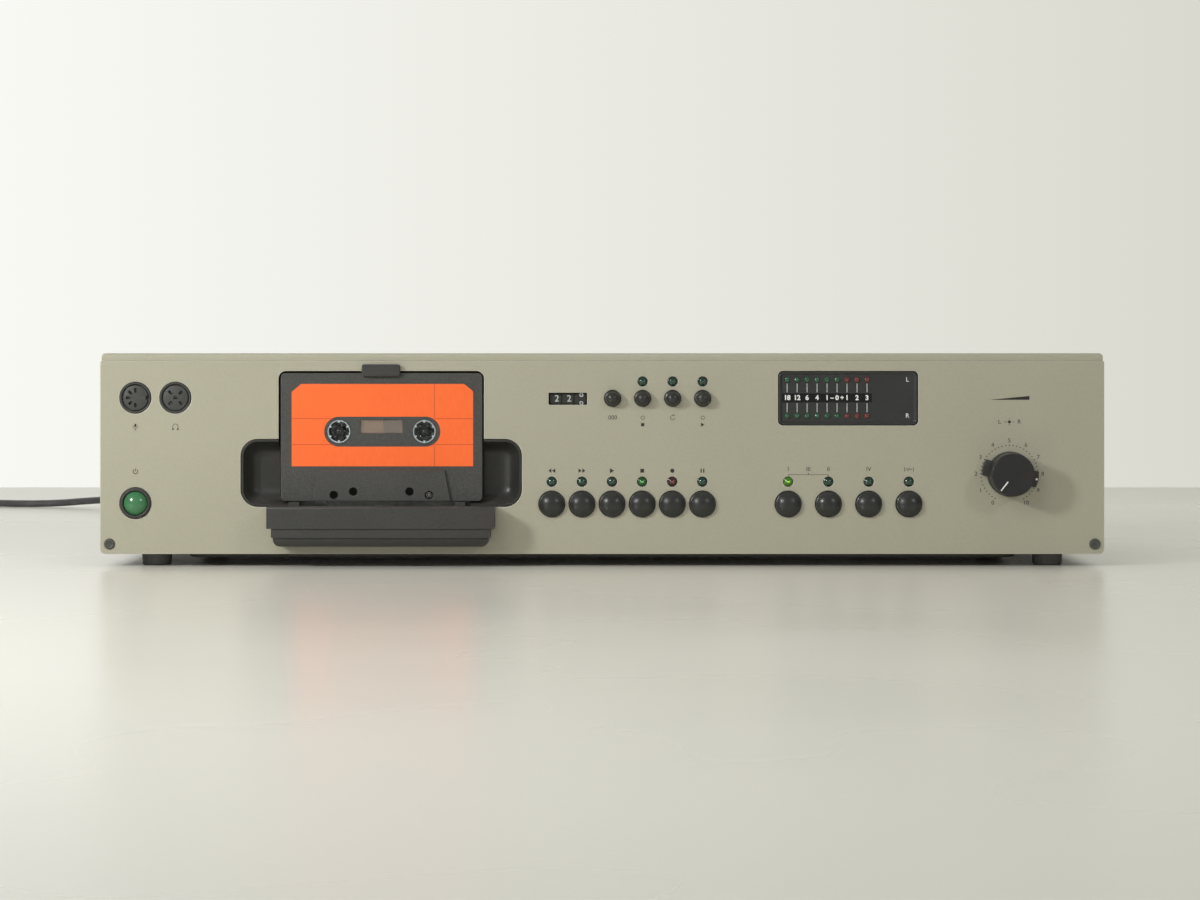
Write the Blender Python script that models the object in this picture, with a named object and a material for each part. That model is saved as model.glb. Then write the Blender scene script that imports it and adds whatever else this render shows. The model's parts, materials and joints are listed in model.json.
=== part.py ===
# Hi-fi cassette deck with an open cassette well, in metres, +Z up, front towards -Y.
# Depths count backwards from the front panel's face, heights from the table.
import math

import bmesh
import bpy
from mathutils import Vector

for thing in list(bpy.data.objects):
    bpy.data.objects.remove(thing, do_unlink=True)

# Clearances and cutting overruns
GAP = 0.0003
RUNNING_GAP = 0.0003
OVERRUN = 0.0020
TURN = 2 * math.pi

# Facet counts
FINE_SIDES = 20
ROUND_SIDES = 14
SMALL_SIDES = 12
LITTLE_SIDES = 10
TINY_SIDES = 8
LEAST_SIDES = 6
CORNER_STEPS = 3

# Case
CASE_WIDTH = 0.5000
CASE_DEPTH = 0.2850
CASE_HEIGHT = 0.1062
PANEL_THICKNESS = 0.0020
PANEL_BOTTOM = 0.0062
COVER_LIP = 0.0037
PANEL_CORNER = 0.0025
COVER_SHEET = 0.0010
COVER_INSET = 0.00075
COVER_EDGE = 0.0025
COVER_BOTTOM = 0.0085
COVER_BACK_FLANGE = 0.0120
BACK_THICKNESS = 0.0012
BACK_CORNER = 0.0012

# Air slots in the top cover
VENT_WIDTH = 0.0032
VENT_LENGTH = 0.0420
VENT_PITCH = 0.0100
VENTS_PER_FIELD = 7
VENT_FIELD_INSET = 0.1100
VENT_BACK_MARGIN = 0.0800

# Bottom pan with its dished middle
PAN_SHEET = 0.0012
PAN_UNDERSIDE = 0.0077
PAN_FLANGE_TOP = 0.0138
PAN_CORNER = 0.0015
DISH_SIDE = 0.0370
DISH_SLOPE = 0.0040
DISH_BOTTOM = 0.0030
DISH_MARGIN = 0.0200
DISH_CORNER = 0.0140

# Rubber feet
FOOT_TOP_RADIUS = 0.00765
FOOT_BOTTOM_RADIUS = 0.00725
FOOT_EDGE = 0.0008
FOOT_INSET = 0.0260
FOOT_FRONT_DEPTH = 0.0180
FOOT_BACK_MARGIN = 0.0250

# Case screws
SCREW_HEAD_RADIUS = 0.00277
SCREW_HEAD_HEIGHT = 0.0014
SCREW_RADIUS = 0.0014
SCREW_LENGTH = 0.0080
PANEL_SCREW_INSET = 0.0047
PANEL_SCREW_RISE = 0.0050
BACK_SCREW_INSET = 0.0200
BACK_SCREW_LOW = 0.0115
BACK_SCREW_DROP = 0.0072

# Cassette well and its moulded liner
WELL_CLEARANCE = 0.0009
WELL_TOP_CLEARANCE = 0.0010
WELL_CORNER = 0.0038
EAR_REACH = 0.0189
EAR_DROP = 0.0028
EAR_HEIGHT = 0.0338
EAR_CORNER = 0.0085
EAR_RIM = 0.0010
EAR_SLOPE = 0.0055
EAR_DEPTH = 0.0088
HEAD_OPENING_INSET = 0.0011
HEAD_OPENING_BOTTOM = 0.0135
LINER_WALL = 0.0018
LINER_SIDE = 0.0040
LINER_FLOOR_THICKNESS = 0.0016
HEAD_SLOT_MARGIN = 0.0060
HEAD_SLOT_RISE = 0.0045
NOTCH_WIDTH = 0.0140
NOTCH_RISE = 0.0023

# Cassette catch
CATCH_WIDTH = 0.0191
CATCH_OVERLAP = 0.0017
CATCH_HEIGHT = 0.0061
CATCH_PROUD = 0.0028
CATCH_CORNER = 0.0012
TONGUE_THICKNESS = 0.0012

# Cassette
CASSETTE_OFFSET = 0.00015
CASSETTE_WIDTH = 0.1004
CASSETTE_RISE = 0.0263
CASSETTE_HEIGHT = 0.0638
CASSETTE_THICKNESS = 0.0087
CASSETTE_STEP = 0.0016
CASSETTE_PROUD = 0.0005
CASSETTE_CORNER = 0.0015
CASSETTE_WALL = 0.0011
CASSETTE_RIM = 0.0016
STEP_TOP_WIDTH = 0.0628
STEP_BOTTOM_WIDTH = 0.0688
STEP_HEIGHT = 0.0154
HUB_SPACING = 0.0425
HUB_RISE = 0.0347
HUB_WINDOW_RADIUS = 0.0058
WINDOW_WIDTH = 0.0212
WINDOW_HEIGHT = 0.0068
WINDOW_RISE = 0.0372
WINDOW_THICKNESS = 0.0010
CAPSTAN_HOLE_X = 0.02365
CAPSTAN_HOLE_RISE = 0.0032
PIN_HOLE_X = 0.0140
PIN_HOLE_RISE = 0.0049
SHELL_HOLE_RADIUS = 0.0021
MOUTH_RISE = 0.0080
HEAD_MOUTH_WIDTH = 0.0180
SIDE_MOUTH_X = 0.0235
SIDE_MOUTH_WIDTH = 0.0170

# Tape hubs with their packs
HUB_BORE_RADIUS = 0.0050
HUB_RADIUS = 0.0108
HUB_TOOTH_TIP = 0.0040
HUB_TOOTH_WIDTH = 0.0011
HUB_TEETH = 6
HUB_WIDTH = 0.0046
TAPE_WIDTH = 0.0038
LEFT_PACK_RADIUS = 0.0222
RIGHT_PACK_RADIUS = 0.0172

# Spindles on the transport plate
SPINDLE_CORE_RADIUS = 0.0029
SPLINE_TIP = 0.0044
SPLINE_WIDTH = 0.0010
SPINDLE_NOSE_DEPTH = 0.0004
SPINDLE_SHAFT_RADIUS = 0.0020
TYRE_RADIUS = 0.0120
TYRE_WIDTH = 0.0040

# Transport plate behind the well
TRANSPORT_THICKNESS = 0.0015
TRANSPORT_MARGIN = 0.0060
TRANSPORT_BOTTOM = 0.0100
TRANSPORT_ABOVE = 0.0027
POST_RADIUS = 0.0020

# Flywheel, capstan and motors
CAPSTAN_RADIUS = 0.00125
CAPSTAN_PROUD = 0.0012
FLYWHEEL_RADIUS = 0.0255
FLYWHEEL_FRONT = 0.0210
FLYWHEEL_WIDTH = 0.0060
FLYWHEEL_BOSS_RADIUS = 0.0045
FLYWHEEL_WEB_SHARE = 0.55
MOTOR_REACH = 0.0758
MOTOR_RADIUS = 0.0160
MOTOR_LENGTH = 0.0300
MOTOR_FRONT = 0.0285
MOTOR_SHAFT_RADIUS = 0.0010
PULLEY_RADIUS = 0.0042
PULLEY_LIP = 0.0008
BELT_WIDTH = 0.0040
BELT_THICKNESS = 0.0008
REEL_MOTOR_RADIUS = 0.0140
REEL_MOTOR_LENGTH = 0.0240
REEL_WHEEL_GAP = 0.0006

# Head carriage and pinch roller
CARRIAGE_TRAVEL = 0.0040
CARRIAGE_THICKNESS = 0.0012
CARRIAGE_WIDTH = 0.0760
CARRIAGE_BOTTOM = 0.0140
CARRIAGE_TOP = 0.0288
SHELF_BOTTOM = 0.0155
SHELF_THICKNESS = 0.0020
SHELF_LEFT = -0.0320
SHELF_RIGHT = 0.0110
HEAD_TOP = 0.0294
PLAY_HEAD_WIDTH = 0.0130
ERASE_HEAD_X = -0.0235
ERASE_HEAD_WIDTH = 0.0090
HEAD_WIDTH_ALONG = 0.0092
HEAD_CROWN = 0.0030
PINCH_RADIUS = 0.0062
PINCH_WIDTH = 0.0078
PINCH_AXLE_RADIUS = 0.0010

# Head cover under the cassette
HEAD_COVER_PROUD = 0.0180
HEAD_COVER_TOP = 0.0304
HEAD_COVER_OVERHANG = 0.0050
HEAD_COVER_STEP = 0.0196
HEAD_COVER_MIDDLE_OVERHANG = 0.0030
HEAD_COVER_WAIST = 0.0152
HEAD_COVER_LOW_OVERHANG = 0.0023
HEAD_COVER_BOTTOM = 0.0106
HEAD_COVER_STEP_BACK = 0.0009
HEAD_COVER_CREASE = 0.0142
HEAD_COVER_CHAMFER = 0.0040
HEAD_COVER_WALL = 0.0016
HEAD_COVER_LOW_CORNER = 0.0025
REST_TAB_X = (-0.0437, 0.0387)
REST_TAB_WIDTH = 0.0052
REST_TAB_FRONT = 0.0062

# Front sockets
SOCKET_PITCH = 0.0199
SOCKET_DROP = 0.0185
SOCKET_RADIUS = 0.0077
SOCKET_LENGTH = 0.0150
SOCKET_GROOVE_OUTER = 0.0068
SOCKET_INSERT_RADIUS = 0.0058
SOCKET_GROOVE_DEPTH = 0.0075
SOCKET_PIN_RADIUS = 0.0008
SOCKET_PIN_CIRCLE = 0.0038
SOCKET_PIN_DEPTH = 0.0060
SOCKET_FLANGE = 0.0090
SOCKET_FLANGE_THICKNESS = 0.0015

# Power button
POWER_RISE = 0.0253
BEZEL_RADIUS = 0.0080
BEZEL_PROUD = 0.0013
BEZEL_LENGTH = 0.0100
BEZEL_FLANGE = 0.0095
BEZEL_FLANGE_THICKNESS = 0.0015
POWER_CAP_RADIUS = 0.0058
POWER_PROUD = 0.0032
POWER_DOME = 0.0026
POWER_TRAVEL = 0.0030
POWER_STEM_RADIUS = 0.0020
SWITCH_FRONT = 0.0180
SWITCH_LENGTH = 0.0320
SWITCH_WIDTH = 0.0160
SWITCH_HEIGHT = 0.0180

# Round buttons
BUTTON_RISE = 0.0249
BUTTON_HOLE_RADIUS = 0.00665
BUTTON_RADIUS = 0.0063
BUTTON_PROUD = 0.0045
BUTTON_DOME = 0.0027
BUTTON_TRAVEL = 0.0020
BUTTON_FLANGE = 0.0074
TRANSPORT_KEYS = ("rewind", "fast_forward", "play", "stop", "record", "pause")
TRANSPORT_PITCH = 0.0150
MODE_KEYS = ("tape_type_one", "tape_type_two", "tape_type_four", "noise_reduction")
MODE_PITCH = 0.02003
SMALL_KEYS = ("counter_reset", "memory_stop", "repeat", "memory_start")
SMALL_OFFSET = 0.0303
SMALL_PITCH = 0.01495
SMALL_DROP = 0.0188
SMALL_HOLE_RADIUS = 0.0042
SMALL_RADIUS = 0.0039
SMALL_PROUD = 0.0060
SMALL_DOME = 0.0030
SMALL_FLANGE = 0.0050
FLANGE_THICKNESS = 0.0010
STEM_RADIUS = 0.0014

# Key switches and the board that carries them
BOARD_FRONT = 0.0160
BOARD_THICKNESS = 0.0016
BOARD_MARGIN = 0.0089
BOARD_DROP = 0.0040
BOARD_CORNER = 0.0015
KEY_SWITCH_LENGTH = 0.0050
KEY_SWITCH_WIDTH = 0.0062
KEY_SWITCH_BORE = 0.0036
KEY_SWITCH_FLOOR = 0.0005

# Indicator lamps
LAMP_HOLE_RADIUS = 0.00255
LAMP_RADIUS = 0.0022
LAMP_PROUD = 0.0008
LAMP_RISE = 0.0111
SMALL_LAMP_RISE = 0.0084

# Level meter
METER_OFFSET = 0.0050
METER_WIDTH = 0.0697
METER_HEIGHT = 0.0271
METER_DROP = 0.0052
METER_CORNER = 0.0022
METER_FACE_RECESS = 0.0004
METER_FACE_THICKNESS = 0.0030
METER_LAMP_INSET = 0.0045
METER_LAMP_PITCH = 0.004975
METER_LAMPS = 9
METER_LAMP_LOW = 0.0048
METER_LAMP_HIGH = 0.0043
METER_LAMP_RADIUS = 0.0013
METER_LAMP_PROUD = 0.0006

# Tape counter
COUNTER_OFFSET = 0.0014
COUNTER_WIDTH = 0.0188
COUNTER_HEIGHT = 0.0060
COUNTER_DROP = 0.0160
COUNTER_CORNER = 0.0005
WHEEL_RADIUS = 0.0085
WHEEL_FRONT = 0.0018
WHEEL_PITCH = 0.0061
WHEEL_WIDTH = 0.0055
WHEEL_AXLE_RADIUS = 0.0012
WHEEL_SIDES = 20
COUNTER_WALL = 0.0012
COUNTER_BRIDGE = 0.0015

# Level knob with the balance ring behind it
KNOB_RISE = 0.0399
KNOB_RADIUS = 0.0108
KNOB_PROUD = 0.0160
KNOB_REAR = 0.0062
KNOB_TAPER = 0.0002
KNOB_EDGE = 0.0010
RING_RADIUS = 0.0112
RING_REAR = 0.0008
RING_GRIP_RADIUS = 0.0133
RING_GRIP_HALF_ANGLE = 17
RING_GRIP_LEAN = 1
RING_GRIP_ANGLES = (165, -11)
RING_SLEEVE_RADIUS = 0.0040
RING_SLEEVE_BORE = 0.0033
KNOB_SHAFT_RADIUS = 0.0030
SHAFT_HOLE_RADIUS = 0.0050
POT_FRONT_GAP = 0.0003
POT_WIDTH = 0.0240
POT_LENGTH = 0.0180
POT_CORNER = 0.0020
SLEEVE_REACH = 0.0060
SHAFT_REACH = 0.0120

# Main board, transformer and rear fittings
MAIN_BOARD_SIDE = 0.0600
MAIN_BOARD_BACK_MARGIN = 0.0300
MAIN_BOARD_DEPTH = 0.1150
MAIN_BOARD_HEIGHT = 0.0140
STANDOFF_RADIUS = 0.0030
STANDOFF_INSET = 0.0080
CHIP_ACROSS_SHARES = (0.2, 0.4, 0.6)
CHIP_DEPTH_SHARES = (0.3, 0.6)
CAPACITOR_SHARES = (0.25, 0.7)
CHIP_LENGTH = 0.0200
CHIP_WIDTH = 0.0080
CHIP_HEIGHT = 0.0040
CAPACITOR_RADIUS = 0.0080
CAPACITOR_HEIGHT = 0.0300
TRANSFORMER_INSET = 0.1150
TRANSFORMER_BACK_MARGIN = 0.0950
TRANSFORMER_WIDTH = 0.0640
TRANSFORMER_LENGTH = 0.0540
TRANSFORMER_HEIGHT = 0.0560
TRANSFORMER_CORE = 0.0220
COIL_MARGIN = 0.0060
REAR_SOCKET_INSET = 0.1600
REAR_SOCKET_Z = 0.0500
RELIEF_INSET = 0.1000
RELIEF_Z = 0.0240
RELIEF_BODY_RADIUS = 0.0060
RELIEF_NECK_RADIUS = 0.0045
RELIEF_LENGTH = 0.0240
RELIEF_TIP_RADIUS = 0.0038
RELIEF_RIBS = 4

# Mains lead: free stretch, coil and flat two-pin plug
LEAD_RADIUS = 0.0024
LEAD_REST = 0.0025
LEAD_STRAIGHT = 0.0060
LEAD_STEP_SHARE = 5.5
COIL_CENTRE = (-0.5200, 0.5850)
COIL_RADIUS = 0.0375
COIL_TURNS = 3
COIL_START = 35
COIL_TURN_GAP = 0.0007
COIL_POINTS = 20
COIL_TAIL = 0.0060
COIL_LEAD_OUT = 0.0260
PLUG_LENGTH = 0.0340
PLUG_WIDTH = 0.0260
PLUG_THICKNESS = 0.0140
PLUG_NECK_WIDTH = 0.0110
PLUG_NECK_THICKNESS = 0.0100
PLUG_CORNER = 0.0030
PLUG_SHARES = (0.25, 0.55)
PIN_RADIUS = 0.0020
PIN_LENGTH = 0.0190
PIN_SPACING = 0.0190

# Groups across the panel, from the left: sockets, well, transport keys, mode keys and knob.
# The shares divide what they leave of the panel's width into the gaps before, between and after them.
PANEL_GAP_SHARES = (0.0700, 0.1588, 0.0285, 0.2272, 0.2387)

# Derived sizes
WELL_WIDTH = CASSETTE_WIDTH + 2 * WELL_CLEARANCE
EAR_WIDTH = WELL_WIDTH + 2 * EAR_REACH
LINER_WIDTH = EAR_WIDTH + 2 * LINER_SIDE
HEAD_OPENING_WIDTH = WELL_WIDTH - 2 * HEAD_OPENING_INSET
HEAD_SLOT_WIDTH = CARRIAGE_WIDTH + 2 * HEAD_SLOT_MARGIN
HEAD_COVER_WIDTH = WELL_WIDTH + 2 * HEAD_COVER_OVERHANG
HEAD_COVER_MIDDLE_WIDTH = WELL_WIDTH + 2 * HEAD_COVER_MIDDLE_OVERHANG
HEAD_COVER_LOW_WIDTH = WELL_WIDTH + 2 * HEAD_COVER_LOW_OVERHANG
DISH_WIDTH = CASE_WIDTH - 2 * DISH_SIDE
MAIN_BOARD_WIDTH = CASE_WIDTH - 2 * MAIN_BOARD_SIDE
MAIN_BOARD_LENGTH = CASE_DEPTH - MAIN_BOARD_DEPTH - MAIN_BOARD_BACK_MARGIN

# Derived places across
GROUP_WIDTHS = (
    SOCKET_PITCH + 2 * SOCKET_FLANGE,
    LINER_WIDTH,
    (len(TRANSPORT_KEYS) - 1) * TRANSPORT_PITCH + 2 * BUTTON_FLANGE,
    (len(MODE_KEYS) - 1) * MODE_PITCH + 2 * BUTTON_FLANGE,
    2 * RING_GRIP_RADIUS,
)
FREE_WIDTH = CASE_WIDTH - sum(GROUP_WIDTHS)


def group_left(index):
    return sum(GROUP_WIDTHS[:index]) + sum(PANEL_GAP_SHARES[:index + 1]) * FREE_WIDTH - CASE_WIDTH / 2


SOCKET_X = (group_left(0) + SOCKET_FLANGE, group_left(0) + SOCKET_FLANGE + SOCKET_PITCH)
POWER_X = SOCKET_X[0]
WELL_X = group_left(1) + LINER_WIDTH / 2
CASSETTE_X = WELL_X + CASSETTE_OFFSET
TRANSPORT_X = group_left(2) + BUTTON_FLANGE
MODE_X = group_left(3) + BUTTON_FLANGE
KNOB_X = group_left(4) + RING_GRIP_RADIUS
SMALL_X = TRANSPORT_X + SMALL_OFFSET
COUNTER_LEFT = TRANSPORT_X - COUNTER_OFFSET
COUNTER_RIGHT = COUNTER_LEFT + COUNTER_WIDTH
METER_LEFT = MODE_X - METER_OFFSET
METER_RIGHT = METER_LEFT + METER_WIDTH
BOARD_LEFT = TRANSPORT_X - BOARD_MARGIN
BOARD_RIGHT = MODE_X + (len(MODE_KEYS) - 1) * MODE_PITCH + BOARD_MARGIN
FOOT_X = CASE_WIDTH / 2 - FOOT_INSET
PANEL_SCREW_X = CASE_WIDTH / 2 - PANEL_SCREW_INSET
BACK_SCREW_X = (BACK_SCREW_INSET - CASE_WIDTH / 2, 0, CASE_WIDTH / 2 - BACK_SCREW_INSET)
VENT_FIELD_X = (VENT_FIELD_INSET - CASE_WIDTH / 2, CASE_WIDTH / 2 - VENT_FIELD_INSET)
TRANSFORMER_X = TRANSFORMER_INSET - CASE_WIDTH / 2
REAR_SOCKET_X = CASE_WIDTH / 2 - REAR_SOCKET_INSET
RELIEF_X = RELIEF_INSET - CASE_WIDTH / 2

# Derived heights
PANEL_TOP = CASE_HEIGHT - COVER_LIP
CASSETTE_BOTTOM = PANEL_BOTTOM + CASSETTE_RISE
WELL_TOP = CASSETTE_BOTTOM + CASSETTE_HEIGHT + WELL_TOP_CLEARANCE
EAR_BOTTOM = CASSETTE_BOTTOM - EAR_DROP
EAR_TOP = EAR_BOTTOM + EAR_HEIGHT
NOTCH_TOP = WELL_TOP + NOTCH_RISE
CATCH_BOTTOM = CASSETTE_BOTTOM + CASSETTE_HEIGHT - CATCH_OVERLAP
CATCH_TOP = CATCH_BOTTOM + CATCH_HEIGHT
TRANSPORT_TOP = WELL_TOP + TRANSPORT_ABOVE
SOCKET_Z = PANEL_TOP - SOCKET_DROP
POWER_Z = PANEL_BOTTOM + POWER_RISE
BUTTON_Z = PANEL_BOTTOM + BUTTON_RISE
SMALL_Z = PANEL_TOP - SMALL_DROP
LAMP_Z = BUTTON_Z + LAMP_RISE
SMALL_LAMP_Z = SMALL_Z + SMALL_LAMP_RISE
KNOB_Z = PANEL_BOTTOM + KNOB_RISE
METER_TOP = PANEL_TOP - METER_DROP
METER_BOTTOM = METER_TOP - METER_HEIGHT
METER_LAMP_X = METER_LEFT + METER_LAMP_INSET
METER_LAMP_ROWS = (METER_BOTTOM + METER_LAMP_LOW, METER_TOP - METER_LAMP_HIGH)
COUNTER_TOP = PANEL_TOP - COUNTER_DROP
COUNTER_BOTTOM = COUNTER_TOP - COUNTER_HEIGHT
BOARD_TOP = PANEL_TOP - BOARD_DROP
PANEL_SCREW_Z = PANEL_BOTTOM + PANEL_SCREW_RISE
BACK_SCREW_HIGH = CASE_HEIGHT - BACK_SCREW_DROP

# Derived depths
FRONT_Y = (max(HEAD_COVER_PROUD, KNOB_PROUD) - CASE_DEPTH - SCREW_HEAD_HEIGHT) / 2
VENT_DEPTH = CASE_DEPTH - VENT_BACK_MARGIN
TRANSFORMER_DEPTH = CASE_DEPTH - TRANSFORMER_BACK_MARGIN
PANEL_BACK = PANEL_THICKNESS + GAP
BACK_FRONT = CASE_DEPTH - BACK_THICKNESS
PAN_BACK = BACK_FRONT - GAP
PAN_FLOOR = PAN_UNDERSIDE + PAN_SHEET
COVER_WIDTH = CASE_WIDTH - 2 * COVER_INSET
INSIDE_WIDTH = COVER_WIDTH - 2 * (COVER_SHEET + GAP)
CASSETTE_FRONT = -CASSETTE_PROUD
CASSETTE_MIDDLE = CASSETTE_FRONT + CASSETTE_THICKNESS / 2
CASSETTE_BACK = CASSETTE_FRONT + CASSETTE_THICKNESS
STEP_BACK = CASSETTE_BACK + CASSETTE_STEP
LINER_FLOOR = STEP_BACK + GAP
LINER_BACK = LINER_FLOOR + LINER_FLOOR_THICKNESS
TRANSPORT_FRONT = LINER_BACK + GAP
TRANSPORT_BACK = TRANSPORT_FRONT + TRANSPORT_THICKNESS
HUB_Z = CASSETTE_BOTTOM + HUB_RISE
CAPSTAN_X = CASSETTE_X + CAPSTAN_HOLE_X
CAPSTAN_Z = CASSETTE_BOTTOM + CAPSTAN_HOLE_RISE
MOTOR_X = CAPSTAN_X - MOTOR_REACH
TYRE_FRONT = TRANSPORT_BACK + GAP
CARRIAGE_FRONT = LINER_FLOOR + GAP
KEY_SWITCH_FRONT = BOARD_FRONT - KEY_SWITCH_LENGTH
COUNTER_X = (COUNTER_LEFT + COUNTER_RIGHT) / 2
COUNTER_Z = (COUNTER_BOTTOM + COUNTER_TOP) / 2
AXLE_DEPTH = WHEEL_FRONT + WHEEL_RADIUS


def key_row(names, first, pitch, height):
    return [(name, first + i * pitch, height) for i, name in enumerate(names)]


TRANSPORT_ROW = key_row(TRANSPORT_KEYS, TRANSPORT_X, TRANSPORT_PITCH, BUTTON_Z)
MODE_ROW = key_row(MODE_KEYS, MODE_X, MODE_PITCH, BUTTON_Z)
LARGE_ROW = TRANSPORT_ROW + MODE_ROW
SMALL_ROW = key_row(SMALL_KEYS, SMALL_X, SMALL_PITCH, SMALL_Z)
LAMP_PLACES = [(x, LAMP_Z) for _, x, _ in LARGE_ROW] + [(x, SMALL_LAMP_Z) for _, x, _ in SMALL_ROW[1:]]
METER_LAMP_PLACES = [
    (METER_LAMP_X + i * METER_LAMP_PITCH, z) for z in METER_LAMP_ROWS for i in range(METER_LAMPS)
]

# Finishes: colour, roughness, metallic
FINISHES = {
    "panel_paint": ((0.36, 0.35, 0.27), 0.45, 0.0),
    "black_steel": ((0.03, 0.03, 0.03), 0.45, 0.0),
    "zinc_steel": ((0.55, 0.55, 0.52), 0.35, 1.0),
    "black_plastic": ((0.045, 0.045, 0.04), 0.5, 0.0),
    "dark_plastic": ((0.06, 0.06, 0.055), 0.45, 0.0),
    "green_plastic": ((0.08, 0.27, 0.12), 0.2, 0.0),
    "rubber": ((0.03, 0.03, 0.03), 0.8, 0.0),
    "white_plastic": ((0.75, 0.75, 0.72), 0.4, 0.0),
    "tape": ((0.16, 0.10, 0.07), 0.35, 0.0),
    "clear_plastic": ((0.75, 0.74, 0.70), 0.1, 0.0),
    "lamp_green": ((0.02, 0.10, 0.05), 0.2, 0.0),
    "meter_black": ((0.02, 0.02, 0.02), 0.25, 0.0),
    "board": ((0.10, 0.25, 0.12), 0.5, 0.0),
    "copper": ((0.55, 0.30, 0.15), 0.4, 1.0),
    "cord": ((0.05, 0.05, 0.05), 0.35, 0.0),
}


def finish(name):
    material = bpy.data.materials.get(name)
    if material is None:
        colour, roughness, metallic = FINISHES[name]
        material = bpy.data.materials.new(name)
        material.use_nodes = True
        shader = material.node_tree.nodes["Principled BSDF"]
        shader.inputs["Base Color"].default_value = (*colour, 1.0)
        shader.inputs["Roughness"].default_value = roughness
        shader.inputs["Metallic"].default_value = metallic
    return material


def frame_empty(name, place):
    empty = bpy.data.objects.new(name, None)
    bpy.context.collection.objects.link(empty)
    empty.location = place
    return empty


DECK = frame_empty("deck_frame", (0, FRONT_Y, 0))


# Building helpers. Outlines are (x, z) points and solids run backwards along +Y.
def add_object(name, bm, finish_name, place=(0, 0, 0), parent=DECK):
    bmesh.ops.recalc_face_normals(bm, faces=bm.faces)
    mesh = bpy.data.meshes.new(name)
    bm.to_mesh(mesh)
    bm.free()
    mesh.materials.append(finish(finish_name))
    mesh.shade_smooth()
    mesh.set_sharp_from_angle(angle=math.radians(35))
    thing = bpy.data.objects.new(name, mesh)
    bpy.context.collection.objects.link(thing)
    thing.location = place
    thing.parent = parent
    return thing


def circle(radius, sides, x=0, z=0, turned_by=0):
    angles = [TURN * i / sides + math.radians(turned_by) for i in range(sides)]
    return [(x + radius * math.cos(a), z + radius * math.sin(a)) for a in angles]


def arc(x, z, radius, start, end, steps=CORNER_STEPS):
    angles = [math.radians(start + (end - start) * i / steps) for i in range(steps + 1)]
    return [(x + radius * math.cos(a), z + radius * math.sin(a)) for a in angles]


def rectangle(left, right, bottom, top, radius=0, steps=CORNER_STEPS):
    if not radius:
        return [(left, bottom), (right, bottom), (right, top), (left, top)]
    return (
        arc(right - radius, bottom + radius, radius, -90, 0, steps)
        + arc(right - radius, top - radius, radius, 0, 90, steps)
        + arc(left + radius, top - radius, radius, 90, 180, steps)
        + arc(left + radius, bottom + radius, radius, 180, 270, steps)
    )


def fill_between(bm, outline, holes, front, back):
    edges = []
    for loop in (outline, *holes):
        corners = [bm.verts.new((x, front, z)) for x, z in loop]
        edges += [bm.edges.new(pair) for pair in zip(corners, corners[1:] + corners[:1])]
    filled = bmesh.ops.triangle_fill(bm, use_beauty=True, edges=edges)
    faces = [f for f in filled["geom"] if isinstance(f, bmesh.types.BMFace)]
    grown = bmesh.ops.extrude_face_region(bm, geom=faces)["geom"]
    moved = [v for v in grown if isinstance(v, bmesh.types.BMVert)]
    bmesh.ops.translate(bm, vec=(0, back - front, 0), verts=moved)


def plate(name, outline, front, back, finish_name, holes=(), place=(0, 0, 0), parent=DECK):
    bm = bmesh.new()
    fill_between(bm, outline, holes, front, back)
    return add_object(name, bm, finish_name, place, parent)


def plates(name, parts, finish_name, place=(0, 0, 0), parent=DECK):
    bm = bmesh.new()
    for outline, front, back in parts:
        fill_between(bm, outline, (), front, back)
    return add_object(name, bm, finish_name, place, parent)


def turn_profile(bm, profile, sides, place=(0, 0, 0), axis="Y"):
    rings = []
    for radius, along in profile:
        spots = circle(radius, sides) if radius else [(0, 0)]
        ring = []
        for a, b in spots:
            point = (a, along, b) if axis == "Y" else (along, a, b) if axis == "X" else (a, b, along)
            ring.append(bm.verts.new(Vector(point) + Vector(place)))
        rings.append(ring)
    pairs = list(zip(rings, rings[1:]))
    if len(rings[0]) > 1:
        pairs.append((rings[-1], rings[0]))
    for one, other in pairs:
        for i in range(sides):
            j = (i + 1) % sides
            corners = [one[i % len(one)], one[j % len(one)], other[j % len(other)], other[i % len(other)]]
            corners = list(dict.fromkeys(corners))
            if len(corners) > 2:
                bm.faces.new(corners)


def turned(name, profile, sides, finish_name, place=(0, 0, 0), axis="Y", parent=DECK):
    bm = bmesh.new()
    turn_profile(bm, profile, sides, (0, 0, 0), axis)
    return add_object(name, bm, finish_name, place, parent)


def skin(name, rings, finish_name, place=(0, 0, 0), parent=DECK):
    bm = bmesh.new()
    rows = [[bm.verts.new(point) for point in ring] for ring in rings]
    for one, other in zip(rows, rows[1:]):
        for i in range(len(one)):
            j = (i + 1) % len(one)
            bm.faces.new((one[i], one[j], other[j], other[i]))
    bm.faces.new(rows[0])
    bm.faces.new(rows[-1])
    return add_object(name, bm, finish_name, place, parent)


def box(name, left, right, front, back, bottom, top, finish_name="zinc_steel"):
    return plate(name, rectangle(left, right, bottom, top), front, back, finish_name)


def settle(thing):
    graph = bpy.context.evaluated_depsgraph_get()
    result = bpy.data.meshes.new_from_object(thing.evaluated_get(graph))
    thing.modifiers.clear()
    thing.data = result


def combine(thing, operation, others):
    for other in others:
        modifier = thing.modifiers.new(operation.lower(), "BOOLEAN")
        modifier.operation = operation
        modifier.object = other
    settle(thing)
    for other in others:
        bpy.data.objects.remove(other, do_unlink=True)
    return thing


def cut(thing, *cutters):
    return combine(thing, "DIFFERENCE", cutters)


def unite(thing, *others):
    return combine(thing, "UNION", others)


def dome(radius, edge_depth, crown_depth, steps):
    # Spherical crown from the centre out to the rim, as (radius, depth) points
    rise = edge_depth - crown_depth
    sphere = (radius**2 + rise**2) / (2 * rise)
    widest = math.asin(min(1, radius / sphere))
    points = [(0, crown_depth)]
    for i in range(1, steps + 1):
        a = widest * i / steps
        points.append((sphere * math.sin(a), crown_depth + sphere * (1 - math.cos(a))))
    return points


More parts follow.
